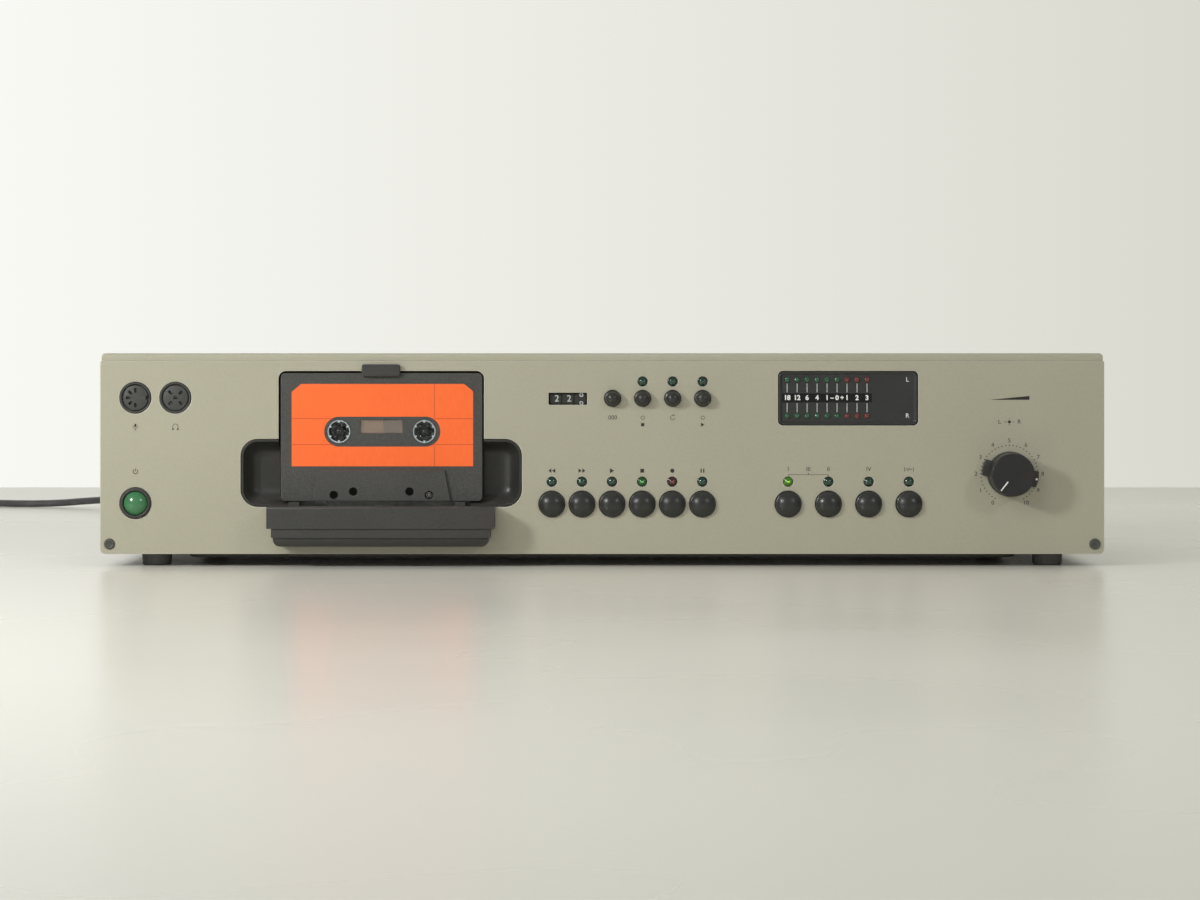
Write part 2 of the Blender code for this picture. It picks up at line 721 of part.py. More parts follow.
# Case
def well_outline(grow):
    # Cassette opening, finger recesses and head opening as one outline, grown all round
    half_well = WELL_WIDTH / 2 + grow
    half_ear = EAR_WIDTH / 2 + grow
    half_head = HEAD_OPENING_WIDTH / 2 + grow
    half_notch = NOTCH_WIDTH / 2 + grow
    top, ear_top, ear_bottom = WELL_TOP + grow, EAR_TOP + grow, EAR_BOTTOM - grow
    low = HEAD_OPENING_BOTTOM - grow
    right = [(half_head, low), (half_head, ear_bottom)]
    right += arc(half_ear - EAR_CORNER, ear_bottom + EAR_CORNER, EAR_CORNER, -90, 0)
    right += arc(half_ear - EAR_CORNER, ear_top - EAR_CORNER, EAR_CORNER, 0, 90)
    right += [(half_well, ear_top)]
    right += arc(half_well - WELL_CORNER, top - WELL_CORNER, WELL_CORNER, 0, 90)
    right += [(half_notch, top), (half_notch, NOTCH_TOP + grow)]
    left = [(-x, z) for x, z in reversed(right)]
    return [(WELL_X + x, z) for x, z in right + left]


def screws(places, seat, way):
    # Screws whose heads sit on a sheet; way is 1 for shanks that point backwards, -1 for forwards
    bm = bmesh.new()
    profile = [
        (0, -SCREW_HEAD_HEIGHT), (SCREW_HEAD_RADIUS, -SCREW_HEAD_HEIGHT), (SCREW_HEAD_RADIUS, GAP),
        (SCREW_RADIUS, GAP), (SCREW_RADIUS, SCREW_LENGTH), (0, SCREW_LENGTH),
    ]
    for x, z in places:
        turn_profile(bm, [(radius, way * along) for radius, along in profile], TINY_SIDES, (x, seat, z))
    return add_object("screws", bm, "black_steel")


def front_panel():
    half = CASE_WIDTH / 2
    outline = rectangle(-half, half, PANEL_BOTTOM, PANEL_TOP, PANEL_CORNER)
    holes = [well_outline(0)]
    holes += [circle(SOCKET_RADIUS + GAP, SMALL_SIDES, x, SOCKET_Z) for x in SOCKET_X]
    holes += [circle(BEZEL_RADIUS + GAP, ROUND_SIDES, POWER_X, POWER_Z)]
    holes += [circle(BUTTON_HOLE_RADIUS, SMALL_SIDES, x, z) for _, x, z in LARGE_ROW]
    holes += [circle(SMALL_HOLE_RADIUS, LITTLE_SIDES, x, z) for _, x, z in SMALL_ROW]
    holes += [circle(LAMP_HOLE_RADIUS, TINY_SIDES, x, z) for x, z in LAMP_PLACES]
    holes += [rectangle(METER_LEFT, METER_RIGHT, METER_BOTTOM, METER_TOP, METER_CORNER)]
    holes += [rectangle(COUNTER_LEFT, COUNTER_RIGHT, COUNTER_BOTTOM, COUNTER_TOP, COUNTER_CORNER, 1)]
    holes += [circle(SHAFT_HOLE_RADIUS, SMALL_SIDES, KNOB_X, KNOB_Z)]
    panel = plate("front_panel", outline, 0, PANEL_THICKNESS, "panel_paint", holes)
    return unite(panel, screws([(x, PANEL_SCREW_Z) for x in (-PANEL_SCREW_X, PANEL_SCREW_X)], 0, 1))


def rounded_block(name, half, front, back, bottom, top, radius):
    # Block whose top edges along the front and both sides are rounded
    bm = bmesh.new()
    fill_between(bm, rectangle(-half, half, bottom, top), (), front, back)

    def on_rounded_edge(edge):
        ends = [v.co for v in edge.verts]
        high = all(v.z > top - GAP for v in ends)
        forward = all(v.y < front + GAP for v in ends)
        beside = all(abs(v.x) > half - GAP for v in ends) and ends[0].x * ends[1].x > 0
        return high and (forward or beside)

    edges = [e for e in bm.edges if on_rounded_edge(e)]
    bmesh.ops.bevel(
        bm, geom=edges, offset=radius, offset_type="OFFSET", segments=CORNER_STEPS, profile=0.5,
        affect="EDGES",
    )
    return add_object(name, bm, "panel_paint")


def top_cover():
    half = COVER_WIDTH / 2
    inner = half - COVER_SHEET
    flange_front = BACK_FRONT - GAP - COVER_SHEET
    cover = rounded_block("top_cover", half, 0, CASE_DEPTH, COVER_BOTTOM, CASE_HEIGHT, COVER_EDGE)
    hollow = rounded_block(
        "cover_hollow", inner, COVER_SHEET, flange_front, COVER_BOTTOM - OVERRUN, CASE_HEIGHT - COVER_SHEET,
        COVER_EDGE - COVER_SHEET
    )
    for_panel = box(
        "for_panel", -CASE_WIDTH, CASE_WIDTH, -OVERRUN, PANEL_BACK, COVER_BOTTOM - OVERRUN, PANEL_TOP + GAP
    )
    for_back = box(
        "for_back", -inner, inner, flange_front + COVER_SHEET, CASE_DEPTH + OVERRUN, COVER_BOTTOM - OVERRUN,
        CASE_HEIGHT - COVER_SHEET
    )
    back_window = box(
        "back_window", -inner, inner, flange_front - OVERRUN, CASE_DEPTH, COVER_BOTTOM - OVERRUN,
        CASE_HEIGHT - COVER_SHEET - COVER_BACK_FLANGE
    )
    slots = bmesh.new()
    for field in VENT_FIELD_X:
        for i in range(VENTS_PER_FIELD):
            x = field + (i - (VENTS_PER_FIELD - 1) / 2) * VENT_PITCH
            ends = rectangle(
                x - VENT_WIDTH / 2, x + VENT_WIDTH / 2, VENT_DEPTH, VENT_DEPTH + VENT_LENGTH,
                VENT_WIDTH / 2 - GAP / 2, 1,
            )
            low, high = CASE_HEIGHT - COVER_SHEET - OVERRUN, CASE_HEIGHT + OVERRUN
            rows = [[slots.verts.new((a, b, height)) for a, b in ends] for height in (low, high)]
            for j in range(len(ends)):
                k = (j + 1) % len(ends)
                slots.faces.new((rows[0][j], rows[0][k], rows[1][k], rows[1][j]))
            slots.faces.new(rows[0])
            slots.faces.new(rows[1])
    vents = add_object("vents", slots, "panel_paint")
    screw_holes = plates("screw_holes", [
        (circle(SCREW_RADIUS + GAP, TINY_SIDES, x, BACK_SCREW_HIGH), flange_front - OVERRUN, CASE_DEPTH)
        for x in BACK_SCREW_X
    ], "panel_paint")
    return cut(cover, hollow, for_panel, for_back, back_window, vents, screw_holes)


def bottom_pan():
    half = INSIDE_WIDTH / 2
    dish = DISH_WIDTH / 2

    def ring(half_width, front, back, height, radius):
        return [(x, y, height) for x, y in rectangle(-half_width, half_width, front, back, radius, 2)]

    def layer(inset, lift):
        # One face of the sheet: flange top, flange foot, dish edge, dish floor
        edge = ring(half - inset, PANEL_BACK + inset, PAN_BACK - inset, 0, PAN_CORNER)
        flange = [(x, y, PAN_FLANGE_TOP) for x, y, _ in edge]
        foot = [(x, y, PAN_UNDERSIDE + lift) for x, y, _ in edge]
        rim = ring(dish, DISH_MARGIN, PAN_BACK - DISH_MARGIN, PAN_UNDERSIDE + lift, DISH_CORNER)
        floor = ring(
            dish - DISH_SLOPE, DISH_MARGIN + DISH_SLOPE, PAN_BACK - DISH_MARGIN - DISH_SLOPE,
            DISH_BOTTOM + lift, DISH_CORNER - DISH_SLOPE
        )
        return [floor, rim, foot, flange]

    pan = skin("bottom_pan", layer(0, 0) + layer(PAN_SHEET, PAN_SHEET)[::-1], "black_steel")
    low_holes = [
        (
            circle(SCREW_RADIUS + GAP, TINY_SIDES, x, BACK_SCREW_LOW), PAN_BACK - PAN_SHEET - OVERRUN,
            PAN_BACK + OVERRUN,
        )
        for x in BACK_SCREW_X
    ]
    front_holes = [
        (
            circle(SCREW_RADIUS + GAP, TINY_SIDES, x, PANEL_SCREW_Z), PANEL_BACK - OVERRUN,
            PANEL_BACK + PAN_SHEET + OVERRUN,
        )
        for x in (-PANEL_SCREW_X, PANEL_SCREW_X)
    ]
    return cut(pan, plates("pan_holes", low_holes + front_holes, "black_steel"))


def back_panel():
    half = INSIDE_WIDTH / 2
    top = CASE_HEIGHT - COVER_SHEET - GAP
    outline = rectangle(-half, half, PAN_UNDERSIDE, top, BACK_CORNER, 1)
    holes = [circle(SOCKET_RADIUS + GAP, SMALL_SIDES, REAR_SOCKET_X, REAR_SOCKET_Z)]
    holes += [circle(RELIEF_NECK_RADIUS + GAP, SMALL_SIDES, RELIEF_X, RELIEF_Z)]
    panel = plate("back_panel", outline, BACK_FRONT, CASE_DEPTH, "black_steel", holes)
    places = [(x, height) for height in (BACK_SCREW_LOW, BACK_SCREW_HIGH) for x in BACK_SCREW_X]
    return unite(panel, screws(places, CASE_DEPTH, -1))


def foot(name, x, depth):
    top = PAN_UNDERSIDE - GAP
    profile = [
        (0, 0), (FOOT_BOTTOM_RADIUS - FOOT_EDGE, 0), (FOOT_BOTTOM_RADIUS, FOOT_EDGE),
        (FOOT_TOP_RADIUS, top), (0, top),
    ]
    return turned(name, profile, ROUND_SIDES, "rubber", (x, depth, 0), "Z")


# Cassette well
def well_liner():
    half_well = WELL_WIDTH / 2
    half_ear = EAR_WIDTH / 2 - GAP
    ear_low, ear_high = EAR_BOTTOM + GAP, EAR_TOP - GAP
    low, high = EAR_BOTTOM - LINER_WALL, WELL_TOP + LINER_WALL
    side = LINER_WIDTH / 2
    block = rectangle(WELL_X - side, WELL_X + side, low, high, LINER_WALL)
    liner = plate("well_liner", block, PANEL_BACK, LINER_BACK, "black_plastic")
    ears = rectangle(WELL_X - half_ear, WELL_X + half_ear, ear_low, ear_high, EAR_CORNER - GAP)
    plug = plate("ear_plug", ears, 0, PANEL_BACK + OVERRUN, "black_plastic")
    pocket_outline = rectangle(WELL_X - half_well, WELL_X + half_well, ear_low, WELL_TOP, WELL_CORNER)
    pocket = plate("pocket", pocket_outline, -OVERRUN, LINER_FLOOR, "black_plastic")
    bowl_rings = []
    for inset, depth in (
        (EAR_RIM, -OVERRUN), (EAR_RIM, GAP), (EAR_RIM + EAR_SLOPE, EAR_DEPTH - EAR_SLOPE / 3),
        (2 * EAR_RIM + EAR_SLOPE, EAR_DEPTH),
    ):
        radius = EAR_CORNER - inset * 2 / 3
        ring = rectangle(
            WELL_X - half_ear + inset, WELL_X + half_ear - inset, ear_low + inset, ear_high - inset, radius
        )
        bowl_rings.append([(x, depth, z) for x, z in ring])
    bowl = skin("bowl", bowl_rings, "black_plastic")
    slot_half = HEAD_SLOT_WIDTH / 2
    slot = box(
        "head_slot", WELL_X - slot_half, WELL_X + slot_half, -OVERRUN, LINER_BACK + OVERRUN, low - OVERRUN,
        EAR_BOTTOM + HEAD_SLOT_RISE,
    )
    half_notch = NOTCH_WIDTH / 2
    notch = box(
        "catch_notch", WELL_X - half_notch, WELL_X + half_notch, PANEL_THICKNESS, CASSETTE_BACK + OVERRUN,
        WELL_TOP - OVERRUN, high + OVERRUN,
    )
    holes = plates("liner_holes", [
        (
            circle(SPLINE_TIP + 3 * GAP, SMALL_SIDES, CASSETTE_X + sign * HUB_SPACING / 2, HUB_Z),
            LINER_FLOOR - OVERRUN, LINER_BACK + OVERRUN,
        )
        for sign in (-1, 1)
    ] + [
        (
            circle(CAPSTAN_RADIUS + 4 * GAP, TINY_SIDES, CAPSTAN_X, CAPSTAN_Z),
            LINER_FLOOR - OVERRUN, LINER_BACK + OVERRUN,
        )
    ], "black_plastic")
    return cut(unite(liner, plug), pocket, bowl, slot, notch, holes)


def head_cover():
    wall = HEAD_COVER_WALL
    front = -HEAD_COVER_PROUD

    def prism(name, width, profile):
        # The profile's (depth, height) points, carried across the width
        ends = [[(WELL_X + sign * width / 2, y, z) for y, z in profile] for sign in (-1, 1)]
        return skin(name, ends, "dark_plastic")

    step = front + HEAD_COVER_STEP_BACK
    back = -GAP
    upper = prism("head_cover", HEAD_COVER_WIDTH, [
        (back, HEAD_COVER_STEP), (back, HEAD_COVER_TOP), (front + wall / 2, HEAD_COVER_TOP),
        (front, HEAD_COVER_TOP - wall / 2),
        (front, HEAD_COVER_STEP),
    ])
    middle = prism("cover_middle", HEAD_COVER_MIDDLE_WIDTH, [
        (back, HEAD_COVER_WAIST), (back, HEAD_COVER_STEP + wall / 2),
        (step, HEAD_COVER_STEP + wall / 2), (step, HEAD_COVER_WAIST),
    ])
    under = step + HEAD_COVER_CHAMFER
    corner = HEAD_COVER_LOW_CORNER
    lower_face = [
        (back, HEAD_COVER_BOTTOM), (back, HEAD_COVER_WAIST + wall / 2),
        (step, HEAD_COVER_WAIST + wall / 2), (step, HEAD_COVER_CREASE),
        (under, HEAD_COVER_BOTTOM),
    ]
    lower = prism("cover_lower", HEAD_COVER_LOW_WIDTH, lower_face)
    half_low = HEAD_COVER_LOW_WIDTH / 2
    trims = []
    for sign in (-1, 1):
        edge = WELL_X + sign * half_low
        outline = [
            (edge - sign * corner, HEAD_COVER_BOTTOM - OVERRUN),
            (edge + sign * OVERRUN, HEAD_COVER_BOTTOM - OVERRUN),
        ]
        outline += [(edge + sign * OVERRUN, HEAD_COVER_BOTTOM + corner)]
        outline += [
            (edge - sign * corner + sign * x, HEAD_COVER_BOTTOM + corner + z)
            for x, z in arc(0, 0, corner, 0, -90)
        ]
        trims.append(plate("corner_trim", outline, front - OVERRUN, OVERRUN, "dark_plastic"))
    lower = cut(lower, *trims)
    cover = unite(upper, middle, lower)
    half_in = half_low - 2 * wall
    hollow = prism("cover_hollow", 2 * half_in, [
        (OVERRUN, HEAD_COVER_BOTTOM + wall), (OVERRUN, HEAD_COVER_TOP - wall),
        (step + wall, HEAD_COVER_TOP - wall),
        (step + wall, HEAD_COVER_CREASE + wall / 2), (under + wall / 2, HEAD_COVER_BOTTOM + wall),
    ])
    slot_half = HEAD_SLOT_WIDTH / 2
    slot = box(
        "cover_slot", WELL_X - slot_half, WELL_X + slot_half, -CASSETTE_PROUD - CASSETTE_STEP - OVERRUN,
        OVERRUN, HEAD_COVER_TOP - 2 * wall, HEAD_COVER_TOP + OVERRUN,
    )
    cover = cut(cover, hollow, slot)
    tabs = [
        box(
            "rest_tab", WELL_X + x - REST_TAB_WIDTH / 2, WELL_X + x + REST_TAB_WIDTH / 2,
            -REST_TAB_FRONT, OVERRUN / 2, HEAD_COVER_TOP - wall / 2, CASSETTE_BOTTOM - GAP, "dark_plastic",
        )
        for x in REST_TAB_X
    ]
    return unite(cover, *tabs)


def cassette_catch():
    half = CATCH_WIDTH / 2
    face = rectangle(WELL_X - half, WELL_X + half, CATCH_BOTTOM, CATCH_TOP, CATCH_CORNER)
    catch = plate("cassette_catch", face, -CATCH_PROUD, CASSETTE_FRONT - GAP, "dark_plastic")
    bar_half = NOTCH_WIDTH / 2 - GAP
    bar_top = NOTCH_TOP - GAP
    bar = box(
        "catch_bar", WELL_X - bar_half, WELL_X + bar_half, -CATCH_PROUD / 2, CASSETTE_BACK + GAP,
        bar_top - TONGUE_THICKNESS * 2, bar_top, "dark_plastic"
    )
    return unite(catch, bar)


# Cassette
CASSETTE = frame_empty("cassette_frame", (CASSETTE_X, FRONT_Y + CASSETTE_MIDDLE, CASSETTE_BOTTOM))


def cassette_shell(name, side):
    # Half shell; side is -1 for the front half and 1 for the back one
    half = CASSETTE_WIDTH / 2
    face = side * CASSETTE_THICKNESS / 2
    seam = side * GAP / 2
    outline = rectangle(-half, half, 0, CASSETTE_HEIGHT, CASSETTE_CORNER, 2)
    shell = plate(name, outline, face, seam, "black_plastic", parent=CASSETTE)
    step_outline = [
        (-STEP_BOTTOM_WIDTH / 2, 0), (STEP_BOTTOM_WIDTH / 2, 0), (STEP_TOP_WIDTH / 2, STEP_HEIGHT),
        (-STEP_TOP_WIDTH / 2, STEP_HEIGHT),
    ]
    step_face = face + side * CASSETTE_STEP
    step = plate(
        "step", step_outline, step_face, seam + side * CASSETTE_WALL, "black_plastic", parent=CASSETTE
    )
    shell = unite(shell, step)
    rim = CASSETTE_RIM
    inside = rectangle(rim - half, half - rim, rim, CASSETTE_HEIGHT - rim, CASSETTE_CORNER / 2, 1)
    hollow = plate(
        "hollow", inside, face - side * CASSETTE_WALL, -side * OVERRUN, "black_plastic", parent=CASSETTE
    )
    through = (step_face + side * OVERRUN, -side * OVERRUN)
    holes = [circle(HUB_WINDOW_RADIUS, SMALL_SIDES, sign * HUB_SPACING / 2, HUB_RISE) for sign in (-1, 1)]
    holes += [
        circle(SHELL_HOLE_RADIUS, TINY_SIDES, sign * CAPSTAN_HOLE_X, CAPSTAN_HOLE_RISE) for sign in (-1, 1)
    ]
    holes += [circle(SHELL_HOLE_RADIUS, TINY_SIDES, sign * PIN_HOLE_X, PIN_HOLE_RISE) for sign in (-1, 1)]
    across, up = WINDOW_WIDTH / 2, WINDOW_HEIGHT / 2
    if side < 0:
        holes.append(rectangle(-across, across, WINDOW_RISE - up, WINDOW_RISE + up))
    opened = plates("holes", [(hole, *through) for hole in holes], "black_plastic", parent=CASSETTE)
    mouths = []
    for centre, width in (
        (0, HEAD_MOUTH_WIDTH), (-SIDE_MOUTH_X, SIDE_MOUTH_WIDTH), (SIDE_MOUTH_X, SIDE_MOUTH_WIDTH)
    ):
        mouth = rectangle(centre - width / 2, centre + width / 2, -OVERRUN, rim + OVERRUN)
        mouths.append((mouth, face + side * (CASSETTE_STEP - CASSETTE_WALL), -side * OVERRUN))
    mouths.append((
        rectangle(-STEP_TOP_WIDTH / 2 + rim, STEP_TOP_WIDTH / 2 - rim, rim + GAP, MOUTH_RISE),
        face + side * (CASSETTE_STEP - CASSETTE_WALL), -side * OVERRUN,
    ))
    mouth_cutters = [
        plate("mouth", outline, front, back, "black_plastic", parent=CASSETTE)
        for outline, front, back in mouths
    ]
    return cut(shell, hollow, opened, *mouth_cutters)


def cassette_window():
    across, up = WINDOW_WIDTH / 2 - GAP, WINDOW_HEIGHT / 2 - GAP
    pane = rectangle(-across, across, WINDOW_RISE - up, WINDOW_RISE + up)
    face = CASSETTE_THICKNESS / 2 - GAP
    return plate("cassette_window", pane, -face, WINDOW_THICKNESS - face, "clear_plastic", parent=CASSETTE)


def toothed_bore(radius, tip, width, count):
    # Bore outline whose teeth point inwards, in steps round the circle
    points = []
    for i in range(count):
        middle = TURN * i / count
        half_root = math.asin(width / 2 / radius)
        half_tip = math.asin(width / 2 / tip)
        between = middle + TURN / count / 2
        for reach, a in (
            (radius, middle - half_root), (tip, middle - half_tip), (tip, middle + half_tip),
            (radius, middle + half_root),
        ):
            points.append((reach * math.cos(a), reach * math.sin(a)))
        points.append((radius * math.cos(between), radius * math.sin(between)))
    return points


def cassette_hub(name, sign, pack_radius):
    place = (sign * HUB_SPACING / 2, 0, HUB_RISE)
    bore = toothed_bore(HUB_BORE_RADIUS, HUB_TOOTH_TIP, HUB_TOOTH_WIDTH, HUB_TEETH)
    hub = plate(
        name, circle(HUB_RADIUS, ROUND_SIDES), -HUB_WIDTH / 2, HUB_WIDTH / 2, "white_plastic", [bore],
        place, CASSETTE,
    )
    pack = plate("pack", circle(pack_radius, FINE_SIDES), -TAPE_WIDTH / 2, TAPE_WIDTH / 2, "tape",
                 [circle(HUB_RADIUS - GAP, ROUND_SIDES)], place, CASSETTE)
    return unite(hub, pack)


# Tape transport
def spindle(name, sign):
    nose = SPINDLE_NOSE_DEPTH
    points = []
    for i in range(HUB_TEETH):
        middle = TURN * (i + 0.5) / HUB_TEETH
        half_tip = math.asin(SPLINE_WIDTH / 2 / SPLINE_TIP)
        half_root = math.asin(SPLINE_WIDTH / 2 / SPINDLE_CORE_RADIUS)
        for reach, a in (
            (SPINDLE_CORE_RADIUS, middle - half_root),
            (SPLINE_TIP, middle - half_tip), (SPLINE_TIP, middle + half_tip),
            (SPINDLE_CORE_RADIUS, middle + half_root),
        ):
            points.append((reach * math.cos(a), reach * math.sin(a)))
    head = plate(
        name, points, nose, LINER_BACK, "black_plastic",
        place=(CASSETTE_X + sign * HUB_SPACING / 2, 0, HUB_Z),
    )
    profile = [
        (0, nose + GAP), (SPINDLE_SHAFT_RADIUS, nose + GAP), (SPINDLE_SHAFT_RADIUS, TYRE_FRONT),
        (TYRE_RADIUS, TYRE_FRONT),
    ]
    profile += [(TYRE_RADIUS, TYRE_FRONT + TYRE_WIDTH), (0, TYRE_FRONT + TYRE_WIDTH)]
    shaft = turned("shaft", profile, ROUND_SIDES, "black_plastic", head.location)
    return unite(head, shaft)


def reel_wheel_radius():
    return HUB_SPACING / 2 - TYRE_RADIUS - REEL_WHEEL_GAP


def transport_plate():
    left, right = MOTOR_X - MOTOR_RADIUS - TRANSPORT_MARGIN, WELL_X + LINER_WIDTH / 2
    outline = rectangle(left, right, TRANSPORT_BOTTOM, TRANSPORT_TOP, BOARD_CORNER, 1)
    clear = 2 * RUNNING_GAP
    holes = [
        circle(SPINDLE_SHAFT_RADIUS + RUNNING_GAP, SMALL_SIDES, CASSETTE_X + sign * HUB_SPACING / 2, HUB_Z)
        for sign in (-1, 1)
    ]
    holes += [circle(CAPSTAN_RADIUS + RUNNING_GAP, SMALL_SIDES, CAPSTAN_X, CAPSTAN_Z)]
    plate_object = plate("transport_plate", outline, TRANSPORT_FRONT, TRANSPORT_BACK, "zinc_steel", holes)
    posts = []
    for x, z, reach in ((MOTOR_X, CAPSTAN_Z, MOTOR_RADIUS), (CASSETTE_X, HUB_Z, REEL_MOTOR_RADIUS)):
        angles = (150, 210, 60) if x == MOTOR_X else (50, 90, 130)
        for angle in angles:
            a = math.radians(angle)
            r = reach - POST_RADIUS - clear
            post = circle(POST_RADIUS, TINY_SIDES, x + r * math.cos(a), z + r * math.sin(a))
            end = MOTOR_FRONT - GAP if x == MOTOR_X else MOTOR_FRONT + GAP
            posts.append(plate("post", post, TRANSPORT_FRONT + GAP, end, "zinc_steel"))
    reel_motor = motor("reel_motor", CASSETTE_X, HUB_Z, REEL_MOTOR_RADIUS, REEL_MOTOR_LENGTH)
    return unite(plate_object, *posts, reel_motor)


def flywheel():
    web = FLYWHEEL_RADIUS * FLYWHEEL_WEB_SHARE
    front, back = FLYWHEEL_FRONT, FLYWHEEL_FRONT + FLYWHEEL_WIDTH
    boss = TRANSPORT_BACK + RUNNING_GAP
    profile = [
        (0, CASSETTE_FRONT - CAPSTAN_PROUD), (CAPSTAN_RADIUS, CASSETTE_FRONT - CAPSTAN_PROUD),
        (CAPSTAN_RADIUS, boss),
        (FLYWHEEL_BOSS_RADIUS, boss), (FLYWHEEL_BOSS_RADIUS, front + FLYWHEEL_WIDTH / 4),
        (web, front + FLYWHEEL_WIDTH / 4),
        (web + GAP, front), (FLYWHEEL_RADIUS, front), (FLYWHEEL_RADIUS, back), (0, back),
    ]
    return turned("flywheel", profile, FINE_SIDES, "zinc_steel", (CAPSTAN_X, 0, CAPSTAN_Z))


def motor(name, x, z, radius, length):
    bore, deep = MOTOR_SHAFT_RADIUS + RUNNING_GAP, length / 2
    profile = [(0, deep), (bore, deep), (bore, 0), (radius, 0), (radius, length), (0, length)]
    return turned(name, profile, ROUND_SIDES, "zinc_steel", (x, MOTOR_FRONT, z))


def motor_pulley():
    shaft_end = MOTOR_FRONT + MOTOR_LENGTH / 3
    front = FLYWHEEL_FRONT + (FLYWHEEL_WIDTH - BELT_WIDTH) / 2 - GAP
    back = front + BELT_WIDTH + 2 * GAP
    lip = PULLEY_RADIUS + PULLEY_LIP
    profile = [
        (0, front - PULLEY_LIP), (lip, front - PULLEY_LIP), (lip, front), (PULLEY_RADIUS, front),
        (PULLEY_RADIUS, back), (lip, back),
        (lip, back + PULLEY_LIP), (MOTOR_SHAFT_RADIUS, back + PULLEY_LIP),
        (MOTOR_SHAFT_RADIUS, shaft_end), (0, shaft_end),
    ]
    return turned("motor_pulley", profile, ROUND_SIDES, "zinc_steel", (MOTOR_X, 0, CAPSTAN_Z))


def reel_wheel():
    shaft_end = MOTOR_FRONT + REEL_MOTOR_LENGTH / 3
    radius = reel_wheel_radius()
    profile = [
        (0, TYRE_FRONT), (radius, TYRE_FRONT), (radius, TYRE_FRONT + TYRE_WIDTH),
        (MOTOR_SHAFT_RADIUS, TYRE_FRONT + TYRE_WIDTH),
        (MOTOR_SHAFT_RADIUS, shaft_end), (0, shaft_end),
    ]
    return turned("reel_wheel", profile, ROUND_SIDES, "rubber", (CASSETTE_X, 0, HUB_Z))


def belt_loop(grow):
    # Outline that runs round both pulleys, tangent to them
    small, large = PULLEY_RADIUS + grow, FLYWHEEL_RADIUS + grow
    span = CAPSTAN_X - MOTOR_X
    lean = math.degrees(math.asin((large - small) / span))
    right = arc(CAPSTAN_X, CAPSTAN_Z, large, -90 - lean, 90 + lean, ROUND_SIDES)
    left = arc(MOTOR_X, CAPSTAN_Z, small, 90 + lean, 270 - lean, TINY_SIDES)
    return right + left


def drive_belt():
    front = FLYWHEEL_FRONT + (FLYWHEEL_WIDTH - BELT_WIDTH) / 2
    return plate(
        "drive_belt", belt_loop(GAP + BELT_THICKNESS), front, front + BELT_WIDTH, "rubber", [belt_loop(GAP)]
    )


def crowned_head(centre, width):
    half = width / 2
    crown = HEAD_CROWN
    outline = [
        (centre - half, SHELF_BOTTOM), (centre + half, SHELF_BOTTOM), (centre + half, HEAD_TOP - crown)
    ]
    outline += [
        (centre + half / 2, HEAD_TOP - crown / 4), (centre, HEAD_TOP),
        (centre - half / 2, HEAD_TOP - crown / 4),
    ]
    return outline + [(centre - half, HEAD_TOP - crown)]


def pinch_z():
    return CAPSTAN_Z - CAPSTAN_RADIUS - PINCH_RADIUS - GAP - CARRIAGE_TRAVEL


def head_carriage():
    half = CARRIAGE_WIDTH / 2
    back = CARRIAGE_FRONT + CARRIAGE_THICKNESS
    outline = rectangle(
        CASSETTE_X - half, CASSETTE_X + half, CARRIAGE_BOTTOM, CARRIAGE_TOP, BOARD_CORNER, 1
    )
    carriage = plate("head_carriage", outline, CARRIAGE_FRONT, back, "zinc_steel")
    front = CASSETTE_MIDDLE - HEAD_WIDTH_ALONG / 2
    shelf = box(
        "shelf", CASSETTE_X + SHELF_LEFT, CASSETTE_X + SHELF_RIGHT, front, back - GAP, SHELF_BOTTOM,
        SHELF_BOTTOM + SHELF_THICKNESS,
    )
    heads = [
        plate(
            "head", crowned_head(CASSETTE_X + x, width), front + GAP, front + HEAD_WIDTH_ALONG, "zinc_steel"
        )
        for x, width in ((0, PLAY_HEAD_WIDTH), (ERASE_HEAD_X, ERASE_HEAD_WIDTH))
    ]
    axle = plate(
        "axle", circle(PINCH_AXLE_RADIUS, TINY_SIDES, CAPSTAN_X, pinch_z()),
        CASSETTE_MIDDLE - PINCH_WIDTH / 2 - PINCH_AXLE_RADIUS, back - GAP, "zinc_steel",
    )
    return unite(carriage, shelf, *heads, axle)


def pinch_roller():
    bore = PINCH_AXLE_RADIUS + RUNNING_GAP
    half = PINCH_WIDTH / 2
    profile = [(bore, -half), (PINCH_RADIUS, -half), (PINCH_RADIUS, half), (bore, half)]
    return turned("pinch_roller", profile, ROUND_SIDES, "rubber", (CAPSTAN_X, CASSETTE_MIDDLE, pinch_z()))


# Controls on the panel
def button(name, x, z, radius, proud, crown, flange, sides):
    seat = PANEL_BACK
    stem_end = BOARD_FRONT - KEY_SWITCH_FLOOR - BUTTON_TRAVEL - 2 * RUNNING_GAP
    profile = dome(radius, crown - proud, -proud, 2)
    profile += [
        (radius, seat), (flange, seat), (flange, seat + FLANGE_THICKNESS),
        (STEM_RADIUS, seat + FLANGE_THICKNESS),
    ]
    profile += [(STEM_RADIUS, stem_end), (0, stem_end)]
    return turned(name, profile, sides, "dark_plastic", (x, 0, z))


